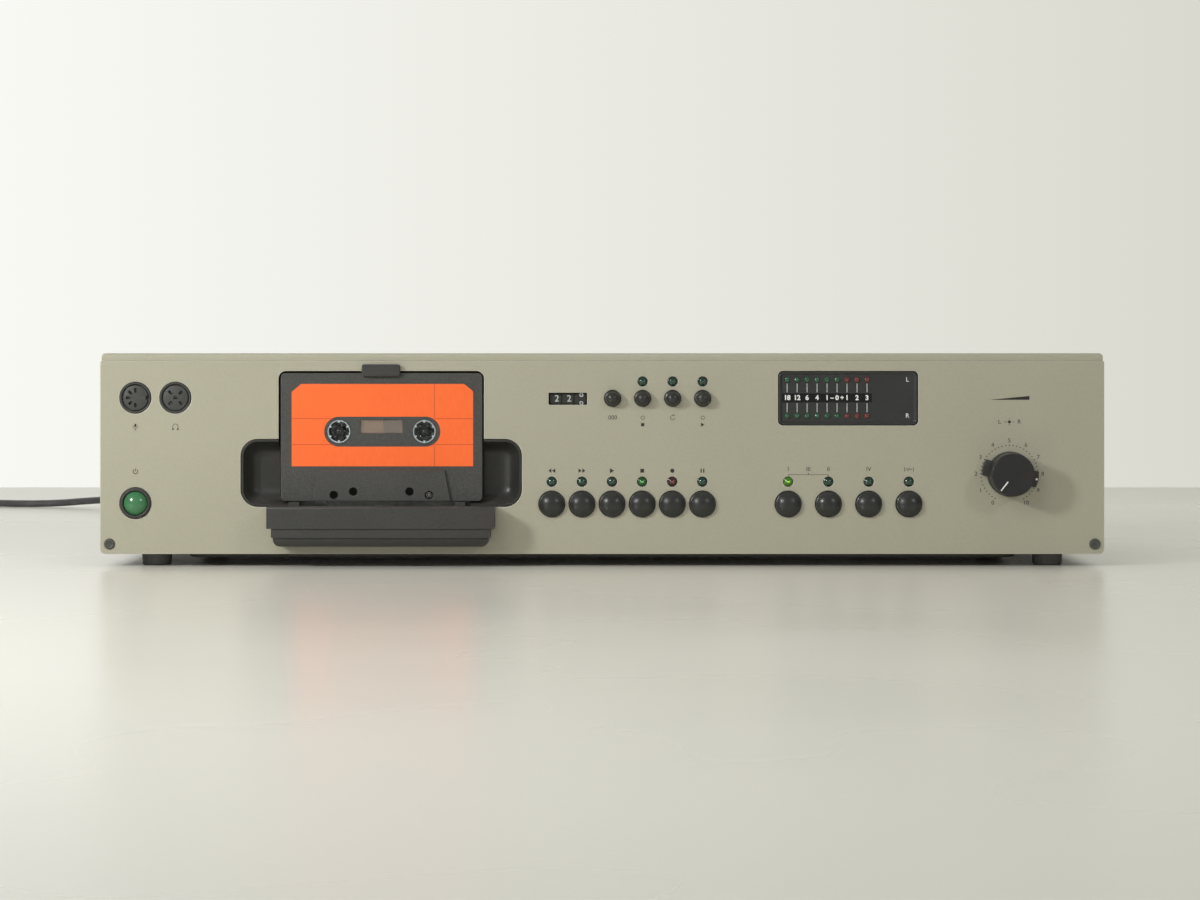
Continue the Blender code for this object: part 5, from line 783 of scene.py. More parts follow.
# Front panel: one sheet with every opening, its cut edges paler than its face
panel = lengths(thickness=2, corner=2.5, upperCorner=1.1, edge=0.3, button=6.65, small=4.2, lamp=2.55,
    socket=7.95, bezel=7.95, shaft=5, meterCorner=2.4, counterWidth=19.1, counterHeight=6,
    counterCorner=0.5, gap=0.3, largeLampRise=11.1, smallLampRise=8.4)
well = lengths(clearance=0.9, top=1.0, corner=3.8, earReach=18.9, earCorner=8.5, earDrop=2.8,
    earHeight=33.8, headInset=1.1, headBottom=13.5, notch=7, notchRise=2.3)
largeButtons = ["rewind", "fast_forward", "play", "stop", "record", "pause", "tape_type_one",
    "tape_type_two", "tape_type_four", "noise_reduction"]
smallButtons = ["counter_reset", "memory_stop", "repeat", "memory_start"]
buttonX = {key: middle("button_" + key)[0] for key in largeButtons + smallButtons}
largeZ, smallZ = middle("button_play")[1], middle("button_repeat")[1]
lampPlaces = {key: (buttonX[key], largeZ + panel["largeLampRise"]) for key in largeButtons}
lampPlaces |= {key: (buttonX[key], smallZ + panel["smallLampRise"]) for key in smallButtons[1:]}
knobX, knobZ = middle("level_knob")
shellLow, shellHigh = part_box("cassette_front_shell")
wellX = middle("well_liner")[0]
meterLow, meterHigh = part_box("meter_face")
counterX, counterZ = middle("counter_frame")


def wellOutline():
    half = (shellHigh[0] - shellLow[0]) / 2 + well["clearance"]
    ear, head, top = half + well["earReach"], half - well["headInset"], shellHigh[2] + well["top"]
    earLow = shellLow[2] - well["earDrop"]
    earTop = earLow + well["earHeight"]
    corner = well["earCorner"]
    right = [(head, well["headBottom"]), (head, earLow)]
    right += arc(ear - corner, earLow + corner, corner, -90, 0) + arc(ear - corner, earTop - corner,
        corner, 0, 90)
    right += [(half, earTop)] + arc(half - well["corner"], top - well["corner"], well["corner"], 0, 90)
    right += [(well["notch"], top), (well["notch"], top + well["notchRise"])]
    return [(wellX + x, z) for x, z in right + [(-x, z) for x, z in reversed(right)]]


def frontPanel():
    low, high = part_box("front_panel")
    gap, lower, upper = panel["gap"], panel["corner"], panel["upperCorner"]
    outline = (arc(low[0] + lower, low[2] + lower, lower, 180, 270)
        + arc(high[0] - lower, low[2] + lower, lower, 270, 360) + arc(high[0] - upper, high[2] - upper,
        upper, 0, 90) + arc(low[0] + upper, high[2] - upper, upper, 90, 180))
    outlines = [outline, wellOutline()]
    outlines += [circle(buttonX[key], largeZ, panel["button"], 64) for key in largeButtons]
    outlines += [circle(buttonX[key], smallZ, panel["small"]) for key in smallButtons]
    outlines += [circle(x, z, panel["lamp"], 32) for x, z in lampPlaces.values()]
    for node, hole in (("microphone_socket", "socket"), ("headphone_socket", "socket"),
            ("power_button", "bezel")):
        outlines.append(circle(*middle(node), panel[hole], 64))
    across, up = panel["counterWidth"] / 2, panel["counterHeight"] / 2
    outlines += [circle(knobX, knobZ, panel["shaft"]), rounded(meterLow[0] - gap, meterHigh[0] + gap,
        meterLow[2] - gap, meterHigh[2] + gap, panel["meterCorner"]),
        rounded(counterX - across, counterX + across, counterZ - up, counterZ + up, panel["counterCorner"],
        3)]
    mesh = plate(outlines, 0, panel["thickness"], panel["edge"])
    for face in mesh.polygons:
        if abs(face.normal.y) < 0.999:
            face.material_index = 1
    piece("frontPanelSheet", mesh, "panelPaint panelRim", "deck", "front_panel", angle=14)


frontPanel()

# Screws: dished heads with a cross recess, repeated at the panel's corners and along the back
screw = lengths(profile=((0, -0.66), (1.3175, -0.66), (1.624, -1.012), (1.96, -1.1), (2.24, -1.012),
    (2.52, -0.66), (2.716, -0.22), (2.8, 0), (0, 0)), cross=1.35, slot=0.31, recess=(-2.2, -0.2))
panelScrews = lengths(x=245.3, z=11.2)


def screwHead():
    across, slot = screw["cross"], screw["slot"]
    corner = [(across, slot), (slot, slot), (slot, across)]
    cross = [(x * c - z * s, x * s + z * c) for c, s in ((1, 0), (0, 1), (-1, 0), (0, -1)) for x,
        z in corner]
    return carve(revolve(screw["profile"], sides=48), plate([cross], *screw["recess"], face=0))


piece("panelScrews", repeated(screwHead(), 2, spot(-panelScrews["x"], 0, panelScrews["z"]),
    step=(2 * panelScrews["x"], 0, 0), turn=(0, 0.5, 0)), "screwSteel", "deck")
print("front panel and its screws built")

# Top cover: a folded sheet with rounded edges and two fields of vents
cover = lengths(sheet=1, edge=1.9, lip=3.7, panelDepth=2, flange=12, ventWidth=3.2, ventLength=42,
    ventPitch=10, ventX=140, ventDepth=205, backDepth=283.8, joint=0.04, over=2)
vents = 7


def foldedBlock(half, front, back, low, high, radius, steps=6):
    # A block with its upper front and side edges rounded
    across = [(x, z) for x, z in rounded(-half, half, low, high, radius, steps) if z > low + radius]
    outline = [(-half, low), (half, low)] + across
    rings = []
    for i in range(steps + 1):
        a = math.pi / 2 * i / steps
        inset, depth = radius * (1 - math.sin(a)), front + radius * (1 - math.cos(a))
        rings.append([spot(x, depth, min(z, high - inset)) for x, z in outline])
    rings.append([spot(x, back, z) for x, z in outline])
    return loft(rings)


def topCover():
    low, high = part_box("top_cover")
    half, top, sheet, over, wide = high[0], high[2], cover["sheet"], cover["over"], cover["ventWidth"] / 2
    back = high[1] - faceY
    flange = cover["backDepth"] - panel["gap"] - sheet
    block = foldedBlock(half, 0, back, low[2], top, cover["edge"])
    hollow = foldedBlock(half - sheet, sheet, flange, low[2] - over, top - sheet, cover["edge"] - sheet)
    under, inner = low[2] - over - mm, half - sheet
    forPanel = plate([rounded(-1.1 * half, 1.1 * half, under, top - cover["lip"] + cover["joint"],
        0.1 * mm, 1)], -over, cover["panelDepth"])
    forBack = plate([rounded(-inner, inner, under, top - sheet, 0.1 * mm, 1)], flange + sheet, back + over)
    window = plate([rounded(-inner, inner, under, top - sheet - cover["flange"], mm, 3)], flange - mm, back)
    slot = plate([rounded(-wide, wide, 0, cover["ventLength"], wide - 0.01 * mm)], -over, over, face=0)
    slot.transform(Matrix.Scale(-1, 4, (0, 1, 0)) @ Matrix.Rotation(-math.pi / 2, 4, "X"))
    slot.flip_normals()
    reach = (vents - 1) * cover["ventPitch"] / 2
    fields = [repeated(slot, vents, spot(side * cover["ventX"] - reach, cover["ventDepth"], top),
        step=(cover["ventPitch"], 0, 0)) for side in (-1, 1)]
    mesh = carve(block, hollow, forPanel, forBack, window, *fields)
    piece("topCoverSheet", soften(mesh, 0.12 * mm, 1, 60), "coverPaint", "deck", "top_cover", angle=18)


topCover()

# Bottom pan: a tray whose middle is dished down between the feet
pan = lengths(sheet=1.2, underside=7.7, corner=3, dishHalf=213, slope=4, dishCorner=14, margin=20,
    bend=((0, 0.8), (0.25, 0.25), (0.8, 0)))
panSlope = ((-0.12, 0), (0.05, 0.02), (0.2, 0.12), (0.8, 0.88), (0.95, 0.98), (1.15, 1))


def bottomPan():
    low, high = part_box("bottom_pan")

    def ring(half, inset, height, corner):
        outline = rounded(-half, half, low[1] + inset, high[1] - inset, corner, 10)
        return [(x, y, height) for x, y in outline]

    def layer(inset):
        half, foot, drop = high[0] - inset, pan["underside"] + inset, pan["underside"] - low[2]
        rings = [ring(half, inset, high[2], pan["corner"])]
        rings += [ring(half - inward, inset + inward, foot + up, pan["corner"]) for inward,
            up in pan["bend"]]
        for share, fall in panSlope:
            inward = pan["slope"] * share
            rings.append(ring(pan["dishHalf"] - inward, pan["margin"] + inward, foot - drop * fall,
                pan["dishCorner"] - inward))
        return rings

    piece("bottomPanTray", loft(layer(0)[::-1] + layer(pan["sheet"])), "panPaint", "deck", "bottom_pan",
        angle=50)


bottomPan()

# Feet: rubber, with a rounded sole and a screw in its recess
foot = lengths(top=7.65, sole=7.25, edge=0.9, recess=3.6, depth=2.6, bend=0.3)
for place in ("front_left", "front_right", "back_left", "back_right"):
    x, y = [(low + high) / 2 for low, high in list(zip(*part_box("foot_" + place)))[:2]]
    low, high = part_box("foot_" + place)
    edge, sole, bend, recess = foot["edge"], foot["sole"], foot["bend"], foot["recess"]
    rim = [(sole - edge + edge * math.sin(a), edge - edge * math.cos(a)) for a in (0, 0.4, 0.8, 1.2, 1.57)]
    rubber = revolve([(0, foot["depth"]), (recess, foot["depth"]), (recess, bend), (recess + bend, 0)]
        + rim + [(foot["top"], high[2] - bend), (foot["top"] - bend, high[2]), (0, high[2])],
        (x, y, low[2]), "Z", 48)
    head = upright(screwHead(), (x, y, foot["depth"]))
    piece("foot_" + place + "Rubber", joined(rubber, head), "footRubber screwSteel", "deck",
        "foot_" + place)

# Back panel with its six screws and a pressed frame
back = lengths(front=283.8, face=285, corner=1.2, socketHole=8.0, reliefHole=4.8, screwX=230,
    screwRows=(11.5, 99), rib=0.5, ribFoot=0.1, edge=0.2, pressed=((-200, 200, 68, 82, 3),
    (-197.5, 197.5, 70.5, 79.5, 1.5)))


def backPanel():
    low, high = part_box("back_panel")
    holes = [circle(*middle("rear_socket"), back["socketHole"], 64),
        circle(*middle("strain_relief"), back["reliefHole"], 40)]
    mesh = plate([rounded(low[0], high[0], low[2], high[2], back["corner"])] + holes, back["front"],
        back["face"], back["edge"], 1)
    rows = [repeated(screwHead(), 3, spot(back["screwX"], back["face"], z), step=(-back["screwX"], 0, 0),
        firstTurn=(0, 0.3, math.pi), turn=(0, 0.7, 0)) for z in back["screwRows"]]
    pressed = plate([rounded(*frame) for frame in back["pressed"]], back["face"] - back["ribFoot"],
        back["face"] + back["rib"], back["edge"])
    piece("backPanelSheet", joined([mesh, pressed], rows), "backPaint screwSteel", "deck", "back_panel")


backPanel()
print("cover, pan, feet and back built")

# Sockets: an insert with pin slots inside a groove and a ring
socket = lengths(profile=((0, 0.25), (5.85, 0.2), (6.15, 0.35), (6.25, 0.7), (6.25, 1.6), (6.8, 1.6),
    (6.8, 0.2), (6.95, -0.15), (7.2, -0.3), (7.5, -0.3), (7.7, -0.1), (7.7, 2), (9, 2), (9, 3.5),
    (7.7, 3.5), (7.7, 15), (0, 15)), pin=0.62, pins=(2.55, 4.75), pinDepth=6, contact=(2.2, 6.2),
    contactEnd=0.4, contactHalf=0.13, key=(4.95, 7.25, -1, 1, 0.2), keyDepth=2, rearProud=0.8)
fivePins, fourPins = (90, 135, 180, 225, 270), (45, 135, 225, 315)


def socketBody(node, angles, keyed, depth=0, turn=0):
    near, far = socket["pins"]
    pin, half, end = socket["pin"], socket["contactHalf"], socket["contactEnd"]
    spans = [(math.radians(a), near, far) for a in angles]
    if not keyed:
        spans.append((0, (near - far) / 2, (far - near) / 2))
    cutters, contacts = [], []
    for a, low, high in spans:
        # Each pin enters a slot that points to the middle, past a bright sprung contact
        slot = plate([rounded(low, high, -pin, pin, pin * 0.8, 4)], -mm, socket["pinDepth"], face=0)
        strip = plate([rounded(low + end, high - end, -half, half, 0.1 * mm, 2)], *socket["contact"],
            face=0)
        cutters.append(upright(slot, (0, 0, 0), "Y", -a))
        contacts.append(upright(strip, (0, 0, 0), "Y", -a))
    if keyed:
        cutters.append(plate([rounded(*socket["key"])], -mm, socket["keyDepth"], face=0))
    x, z = middle(node)
    mesh = upright(joined(carve(revolve(socket["profile"]), *cutters), contacts), spot(x, depth, z), "Z",
        turn)
    name = "rearSocketBody" if node == "rear_socket" else node + "Body"
    piece(name, mesh, "socketPlastic zincSteel", "deck", node)


socketBody("microphone_socket", fivePins, True)
socketBody("headphone_socket", fourPins, False)
socketBody("rear_socket", fivePins, True, back["face"] + socket["rearProud"], math.pi)

# Power button: a green dome in a black bezel
power = lengths(bezel=((6.1, -0.45), (6.25, -1.18), (6.5, -1.3), (6.85, -1.3), (7.1, -1.18), (7.55, -0.6),
    (7.8, -0.1), (7.8, 2), (9.5, 2), (9.5, 3.5), (7.3, 3.5)), bore=6.1, sleeve=7.3, cap=5.8, rise=2.6,
    stem=2, lip=0.25, largeLip=0.45)
powerX, powerZ = middle("power_button")
bezelEnd = depths("power_bezel")[1]
piece("powerBezelRing", revolve([(power["bore"], bezelEnd), *power["bezel"], (power["sleeve"], bezelEnd)],
    spot(powerX, 0, powerZ)), "blackMoulding", "deck", "power_bezel")


def domeProfile(radius, proud, rise, steps=12, lip=power["lip"]):
    # A spherical crown that rolls over into the barrel with a small lip
    flat = radius - lip
    sphere = (flat**2 + rise**2) / (2 * rise)
    widest = math.asin(min(1, flat / sphere))
    angles = [widest * i / steps for i in range(1, steps + 1)]
    crown = [(sphere * math.sin(a), sphere * (1 - math.cos(a)) - proud) for a in angles]
    return [(0, -proud), *crown, (radius - lip * 0.3, rise - proud + lip * 0.35),
        (radius, rise - proud + lip)]


capFront, capEnd = depths("power_button")
cap, stem = power["cap"], power["stem"]
piece("powerCap", revolve(domeProfile(cap, -capFront, power["rise"])
    + [(cap, bezelEnd - mm), (stem, bezelEnd - mm), (stem, capEnd), (0, capEnd)], spot(powerX, 0, powerZ)),
    "greenPlastic", "power_key", "power_button")
print("sockets and power button built")

# Keys: large shallow domes and small ball-like ones, each on a stem with a flange behind the panel
keyCaps = lengths(large={"radius": 6.3, "proud": 4.5, "rise": 2.7, "flange": 7.4},
    small={"radius": 3.9, "proud": 6.0, "rise": 3.0, "flange": 5.0}, flangeDepths=(2.3, 3.3), stem=1.4)
for key in largeButtons + smallButtons:
    cap, stem = keyCaps["large" if key in largeButtons else "small"], keyCaps["stem"]
    (x, z), end, (near, far) = middle("button_" + key), depths("button_" + key)[1], keyCaps["flangeDepths"]
    profile = domeProfile(cap["radius"], cap["proud"], cap["rise"],
        lip=power["largeLip"]) + [(cap["radius"], near), (cap["flange"], near), (cap["flange"], far),
        (stem, far), (stem, end), (0, end)]
    piece("cap_" + key, revolve(profile, spot(x, 0, z)), "buttonPlastic", key + "_key", "button_" + key)
print("keys built")

# Indicator lamps: domed lenses over the board's lamps, each with its chip's pale oval glint at the crown
lens = lengths(radius=2.3, proud=1.0, rise=0.95, back=2.4, mark=(0.85, 0.34), glint=(0.02, 0.2))
litLamps = {"stop": ("lampStop", "lensGreen lensGreenMark"),
            "tape_type_one": ("lampTypeOne", "lensYellow lensYellowMark"),
            "record": ("lampRecord", "lensRed lensRedMark")}


def lensPiece(name, places, looks):
    glasses, glints, proud = [], [], lens["proud"]
    across, up = lens["mark"]
    over, under = lens["glint"]
    for x, z in places:
        profile = domeProfile(lens["radius"], proud, lens["rise"], 8)
        profile += [(lens["radius"], lens["back"]), (0, lens["back"])]
        glasses.append(revolve(profile, spot(x, 0, z), sides=32))
        oval = [(x + across * a, z + up * b) for a, b in circle(0, 0, 1, 16)]
        glints.append(plate([oval], -proud - over, under - proud))
    piece(name, joined(glasses, glints), looks, "deck")


for key, (name, looks) in litLamps.items():
    lensPiece(name, [lampPlaces[key]], looks)
lensPiece("lampLenses", [place for key, place in lampPlaces.items() if key not in litLamps],
    "lensOff lensMark")
print("lamps built")

# Level meter: a framed black face with bars, a band of numbers and two rows of lamps
meter = lengths(corner=2.6, innerCorner=0.8, face=0.8, proud=0.06, sink=0.2, left=92.1, pitch=4.975,
    rows=(93.0, 75.0), barHalf=0.2, bars=((86.7, 91.1), (76.8, 81.3)), band=(89.6, 134.3, 81.7, 86.2),
    numberSize=3.3, bold=0.12, sideX=152, frame=((0, 3.4), (0, 0.35), (0.12, 0.12), (0.35, 0.0),
    (0.75, 0.0), (1.0, 0.14), (1.15, 0.4), (1.45, 0.65), (1.7, 0.8)),
    lamp=((0, -1.15), (0.42, -1.11), (0.77, -1.0), (1.05, -0.83), (1.26, -0.6), (1.372, -0.42),
    (1.4, -0.25), (1.4, 0.2), (0, 0.2)))
meterGreens, meterReds = 6, 3
meterSigns = (("18", 0, 1), ("12", 1, 1), ("6", 2, 1), ("4", 3, 1), ("1", 4, 1), ("0", 5, 1), ("1", 6, 1),
    ("2", 7, 1), ("3", 8, 1), ("–", 4.5, 0.9), ("+", 5.5, 0.9))


def levelMeter():
    face, proud, left, pitch, size = [meter[key] for key in ("face", "proud", "left", "pitch",
        "numberSize")]
    rings = []
    for inset, depth in meter["frame"]:
        outline = rounded(meterLow[0] + inset, meterHigh[0] - inset, meterLow[2] + inset,
            meterHigh[2] - inset, max(meter["innerCorner"], meter["corner"] - inset))
        rings.append([spot(x, depth, z) for x, z in outline])
    half, behind = meter["barHalf"], face + meter["sink"]
    strip = plate([rounded(*meter["band"], 0.2 * mm, 2)], face - proud, behind)
    bars = [repeated(plate([rounded(-half, half, low, high, 0.05 * mm, 1)], face - proud, behind),
        meterGreens + meterReds, (left, 0, 0), step=(pitch, 0, 0)) for low, high in meter["bars"]]
    bandZ = (meter["band"][2] + meter["band"][3]) / 2
    signs = [lettering(sign, size * scale, left + place * pitch, bandZ, face - proud, proud, meter["bold"])
        for sign, place, scale in meterSigns]
    signs += [lettering(side, size * 0.95, meter["sideX"], z, face, proud) for side,
        z in zip("LR", meter["rows"])]
    dome = revolve(meter["lamp"], sides=24)
    greens, reds = [[repeated(dome, count, spot(left + first * pitch, face, z), step=(pitch, 0, 0))
        for z in meter["rows"]] for first, count in ((0, meterGreens), (meterGreens, meterReds))]
    piece("levelMeterFace", joined(loft(rings), strip, bars, signs, greens, reds),
        "meterPlastic meterBand barPaint whitePrint meterGreen meterRed", "deck", "meter_face")


levelMeter()
print("level meter built")

# Tape counter: three wheels whose ten numerals are wrapped round them, and the numeral each one shows
counter = lengths(radius=8.5, width=5.9, digit=4.6, proud=0.05, sink=0.1, bore=1.5, shift=0.6, bevel=0.2,
    cut=0.45)
counterShown = {"hundreds": 2, "tens": 2, "units": 8.44}


def counterWheel(name, shown):
    x, axisY, axisZ = [(low + high) / 2 for low, high in zip(*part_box("counter_wheel_" + name))]
    radius, half, bevel, proud = counter["radius"], counter["width"] / 2, counter["bevel"], counter["proud"]
    rim = [(counter["bore"], -half), (radius - bevel, -half), (radius, -half + bevel),
        (radius, half - bevel), (radius - bevel, half), (counter["bore"], half)]
    digits = []
    for digit in range(10):
        bm = bmesh.new()
        bm.from_mesh(lettering(str(digit), counter["digit"], counter["shift"], 0, 0, proud * 2))
        for i in range(-4, 5):
            bmesh.ops.bisect_plane(bm, geom=bm.verts[:] + bm.edges[:] + bm.faces[:],
                plane_co=(0, 0, i * counter["cut"]), plane_no=(0, 0, 1))
        start = math.radians(36 * (shown - digit))
        for vert in bm.verts:
            reach = radius + (proud if vert.co.y < faceY - proud else -counter["sink"])
            a = start + vert.co.z / radius
            vert.co = (x + vert.co.x, axisY - reach * math.cos(a), axisZ + reach * math.sin(a))
        digits.append(meshOf(bm))
    piece("wheel_" + name, joined(revolve(rim, (x, axisY, axisZ), "X", 60), digits),
        "wheelPlastic wheelPrint", name + "_wheel", "counter_wheel_" + name)


for name, shown in counterShown.items():
    counterWheel(name, shown)
print("counter built")

# Level knob, and the balance ring with its two grips behind it
knob = lengths(radius=10.8, edge=0.7, dish=0.25, shaft=3, pointer=(4.2, 10.0), pointerHalf=0.29,
    flare=0.15, rear=-6.2, bend=0.3)
ring = lengths(radius=11.2, grip=13.9, front=-5.8, rear=-0.8, sleeve=4, bore=3.2, edge=0.25,
    rib=(12.3, 14.05, -0.25, 0.25, 0.1), ribDepths=(-6.05, -1.2), dotReach=13.0, dot=0.55,
    dotDepths=(-6.12, -5.3))
turns = {"pointer": -128, "grips": (165, -11), "gripHalf": 19, "ribs": 7, "outline": 180}


def levelKnob():
    front, end = depths("level_knob")
    radius, edge, rear, bend, dish = [knob[key] for key in ("radius", "edge", "rear", "bend", "dish")]
    rim = [(radius - knob["flare"] - edge + edge * math.sin(a), front + edge - edge * math.cos(a))
        for a in [math.pi / 2 * i / 6 for i in range(7)]]
    place = spot(knobX, 0, knobZ)
    body = revolve([(0, front + dish), (radius * 0.6, front + dish * 0.8),
        (radius - edge - 2 * bend, front + 0.04 * mm)] + rim + [(radius, rear - bend),
        (radius - bend, rear), (0, rear)], place, sides=128)
    start = rear - 0.2 * mm
    shaft = revolve([(0, start), (knob["shaft"], start), (knob["shaft"], end), (0, end)], place, sides=32)
    half = knob["pointerHalf"]
    mark = plate([rounded(*knob["pointer"], -half, half, half * 0.9, 4)], front - 0.01 * mm,
        front + 2 * bend, face=0)
    mark = upright(mark, place, "Y", math.radians(-turns["pointer"]))
    piece("knobCap", joined(body, shaft, mark), "knobPlastic zincSteel whitePrint", "level_control",
        "level_knob", angle=40)


def balanceRing():
    outline = []
    for i in range(turns["outline"]):
        a = i * 360 / turns["outline"] - 90
        near = min(abs((a - centre + 180) % 360 - 180) for centre in turns["grips"])
        rise = min(1, max(0, (turns["gripHalf"] + 1 - near) / 2))
        radius = ring["radius"] + (ring["grip"] - ring["radius"]) * rise
        outline.append((radius * math.cos(math.radians(a)), radius * math.sin(math.radians(a))))
    body = plate([outline, circle(0, 0, ring["bore"])], ring["front"], ring["rear"], ring["edge"], face=0)
    end = depths("balance_ring")[1]
    sleeve = revolve(band(ring["bore"], ring["sleeve"], ring["rear"] - 0.2 * mm, end), sides=48)
    rib = plate([rounded(*ring["rib"], 2)], *ring["ribDepths"], face=0)
    step = 2 * turns["gripHalf"] / (turns["ribs"] + 1)
    grips = [repeated(rib, turns["ribs"], (0, 0, 0), turn=(0, -math.radians(step), 0),
        firstTurn=(0, -math.radians(centre - turns["gripHalf"] + step), 0)) for centre in turns["grips"]]
    a = math.radians(turns["grips"][1])
    dot = plate([circle(ring["dotReach"] * math.cos(a), ring["dotReach"] * math.sin(a), ring["dot"], 20)],
        *ring["dotDepths"], face=0)
    mesh = joined([body, sleeve, *grips], dot)
    mesh.transform(Matrix.Translation(spot(knobX, 0, knobZ)))
    piece("balanceRingBody", mesh, "blackMoulding whitePrint", "balance_control", "balance_ring", angle=30)


levelKnob()
balanceRing()
print("knob and balance ring built")

# Cassette: two half shells with the thicker part for the heads
cassette = lengths(corner=2.2, edge=0.4, step=1.6, stepTop=31.4, stepBottom=34.4, stepHeight=15.4,
    stepFoot=0.2, stepEdge=0.3, hubSpacing=42.5, hubRise=34.7, hubHole=5.95, windowRise=37.2,
    windowHalf=(10.6, 3.4), windowCorner=0.4, hole=2.1, holes=((-23.65, 3.2), (23.65, 3.2), (-14, 4.9),
    (14, 4.9)), wall=1.1, mouth=8, inset=1.6, rim=((5.95, 0.3), (5.95, -0.12), (6.3, -0.12), (6.45, 0),
    (6.45, 0.3)), over=2)
cassetteX, cassetteZ = middle("cassette_front_shell")[0], shellLow[2]
shellHalf, shellTop = (shellHigh[0] - shellLow[0]) / 2, shellHigh[2]
shellFace = shellLow[1] - faceY + cassette["step"]
shellSeam = shellHigh[1] - faceY
backLow, backHigh = depths("cassette_back_shell")
hubPlaces = [(cassetteX + sign * cassette["hubSpacing"] / 2, cassetteZ + cassette["hubRise"])
    for sign in (-1, 1)]


def slab(outlines, one, other, edge=0.0):
    return plate(outlines, min(one, other), max(one, other), edge)


def around(half, low, high, corner, steps=8, centre=cassetteX):
    return rounded(centre - half, centre + half, low, high, corner, steps)


def cassetteShell(name, node, face, seam, way):
    # way is -1 for the front half and 1 for the back one
    inset, mouthTop, end = cassette["inset"], cassetteZ + cassette["mouth"], seam - way * cassette["over"]
    holes = [circle(x, z, cassette["hubHole"]) for x, z in hubPlaces]
    holes += [circle(cassetteX + x, cassetteZ + z, cassette["hole"], 32) for x, z in cassette["holes"]]
    if way < 0:
        (across, up), rise = cassette["windowHalf"], cassetteZ + cassette["windowRise"]
        holes.append(around(across, rise - up, rise + up, cassette["windowCorner"], 3))
    shell = slab([around(shellHalf, cassetteZ, shellTop, cassette["corner"])], face, seam, cassette["edge"])
    stepFace, wall = face + way * cassette["step"], way * cassette["wall"]
    low, high = cassette["stepBottom"], cassette["stepTop"]
    foot, top = cassetteZ + cassette["stepFoot"], cassetteZ + cassette["stepHeight"]
    step = slab([[(cassetteX - low, foot), (cassetteX + low, foot), (cassetteX + high, top),
        (cassetteX - high, top)]], stepFace, face - way * 0.5 * mm, cassette["stepEdge"])
    shell = carve(shell, step, operation="UNION")
    hollow = slab([around(shellHalf - inset, mouthTop, shellTop - inset, mm)], face - wall, end)
    mouth = slab([around(high - inset, cassetteZ - cassette["over"], mouthTop + mm, 0.5 * mm)],
        stepFace - wall, end)
    drills = [slab([hole], stepFace + way * cassette["over"], end) for hole in holes]
    shell = carve(shell, hollow, mouth, *drills)
    # A low rim stands round each hub opening of the front half
    rim = [(radius, face + depth) for radius, depth in cassette["rim"]]
    rims = [revolve(rim, (x, faceY, z)) for x, z in hubPlaces] if way < 0 else []
    piece(name, joined([shell, *rims]), "shellPlastic", "cassette", node, angle=20)


cassetteShell("cassetteFrontShell", "cassette_front_shell", shellFace, shellSeam, -1)
cassetteShell("cassetteBackShell", "cassette_back_shell", backHigh - cassette["step"], backLow, 1)

# Label: coloured paper with a long opening and thin ruled lines, left without words; under it a painted
# highlight runs along the raised step's top edge
label = lengths(left=-44.7, right=45.6, low=17.4, high=58.4, thick=0.12, sink=0.1,
    slot=(-28.5, 29.3, 27.2, 42.1), cut=(4.7, 4), line=0.13, rules=(41.1, 28.2), column=26.4, overlap=0.4,
    # foot: the span and height of the painted highlight along the raised step's top edge
    foot=(-31.2, 15.4, 31.0), ink=(0.015, 0.03))
labelReach = 4.2 * mm  # where the long opening's rounded ends meet the rules


def cassetteLabel():
    left, right, low, high, thick, line, column, overlap = [label[key]
        for key in ("left", "right", "low", "high", "thick", "line", "column", "overlap")]
    cutX, cutZ = label["cut"]
    outline = [(left, low), (right, low), (right, high - cutZ), (right - 0.6 * mm, high - cutZ + 0.9 * mm),
        (right - cutX + 0.9 * mm, high - 0.5 * mm), (right - cutX, high), (left + cutX, high),
        (left, high - cutZ)]
    slotLeft, slotRight, slotLow, slotHigh = label["slot"]
    slot = rounded(slotLeft, slotRight, slotLow, slotHigh, (slotHigh - slotLow) / 2 - 0.01 * mm, 16)
    spans = []
    for rule in label["rules"]:
        spans += [(left, slotLeft + labelReach, rule - line, rule + line),
            (slotRight - labelReach, right, rule - line, rule + line)]
    spans += [(column - line, column + line, slotHigh - overlap, high),
        (column - line, column + line, low, slotLow + overlap)]
    highlightLeft, highlightZ, highlightRight = label["foot"]

    def sheet(outlines, *between):
        return plate([[(cassetteX + x, cassetteZ + z) for x, z in points] for points in outlines], *between)

    paper = sheet([outline, slot], shellFace - thick, shellFace + label["sink"])
    # A painted highlight along the top edge of the raised step, just under the label
    stepHighlightStrip = sheet([rounded(highlightLeft, highlightRight, highlightZ, highlightZ + 2 * line, 0.01 * mm, 1)],
        shellFace - label["ink"][1], shellFace + label["sink"])
    ruled = sheet([rounded(*span, 0.01 * mm, 1) for span in spans], shellFace - thick - label["ink"][0],
        shellFace)
    piece("cassetteLabel", joined(paper, ruled, stepHighlightStrip), "labelPaper labelInk labelInkDark", "cassette")


cassetteLabel()
windowLow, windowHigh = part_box("cassette_window")
pane = {"margin": 0.2 * mm, "corner": 0.4 * mm, "edge": 0.1 * mm}
piece("cassettePane", plate([rounded(windowLow[0] - pane["margin"], windowHigh[0] + pane["margin"],
    windowLow[2] - pane["margin"], windowHigh[2] + pane["margin"], pane["corner"], 3)],
    windowLow[1] - faceY + pane["edge"], windowHigh[1] - faceY, pane["edge"]), "windowPlastic", "cassette",
    "cassette_window")

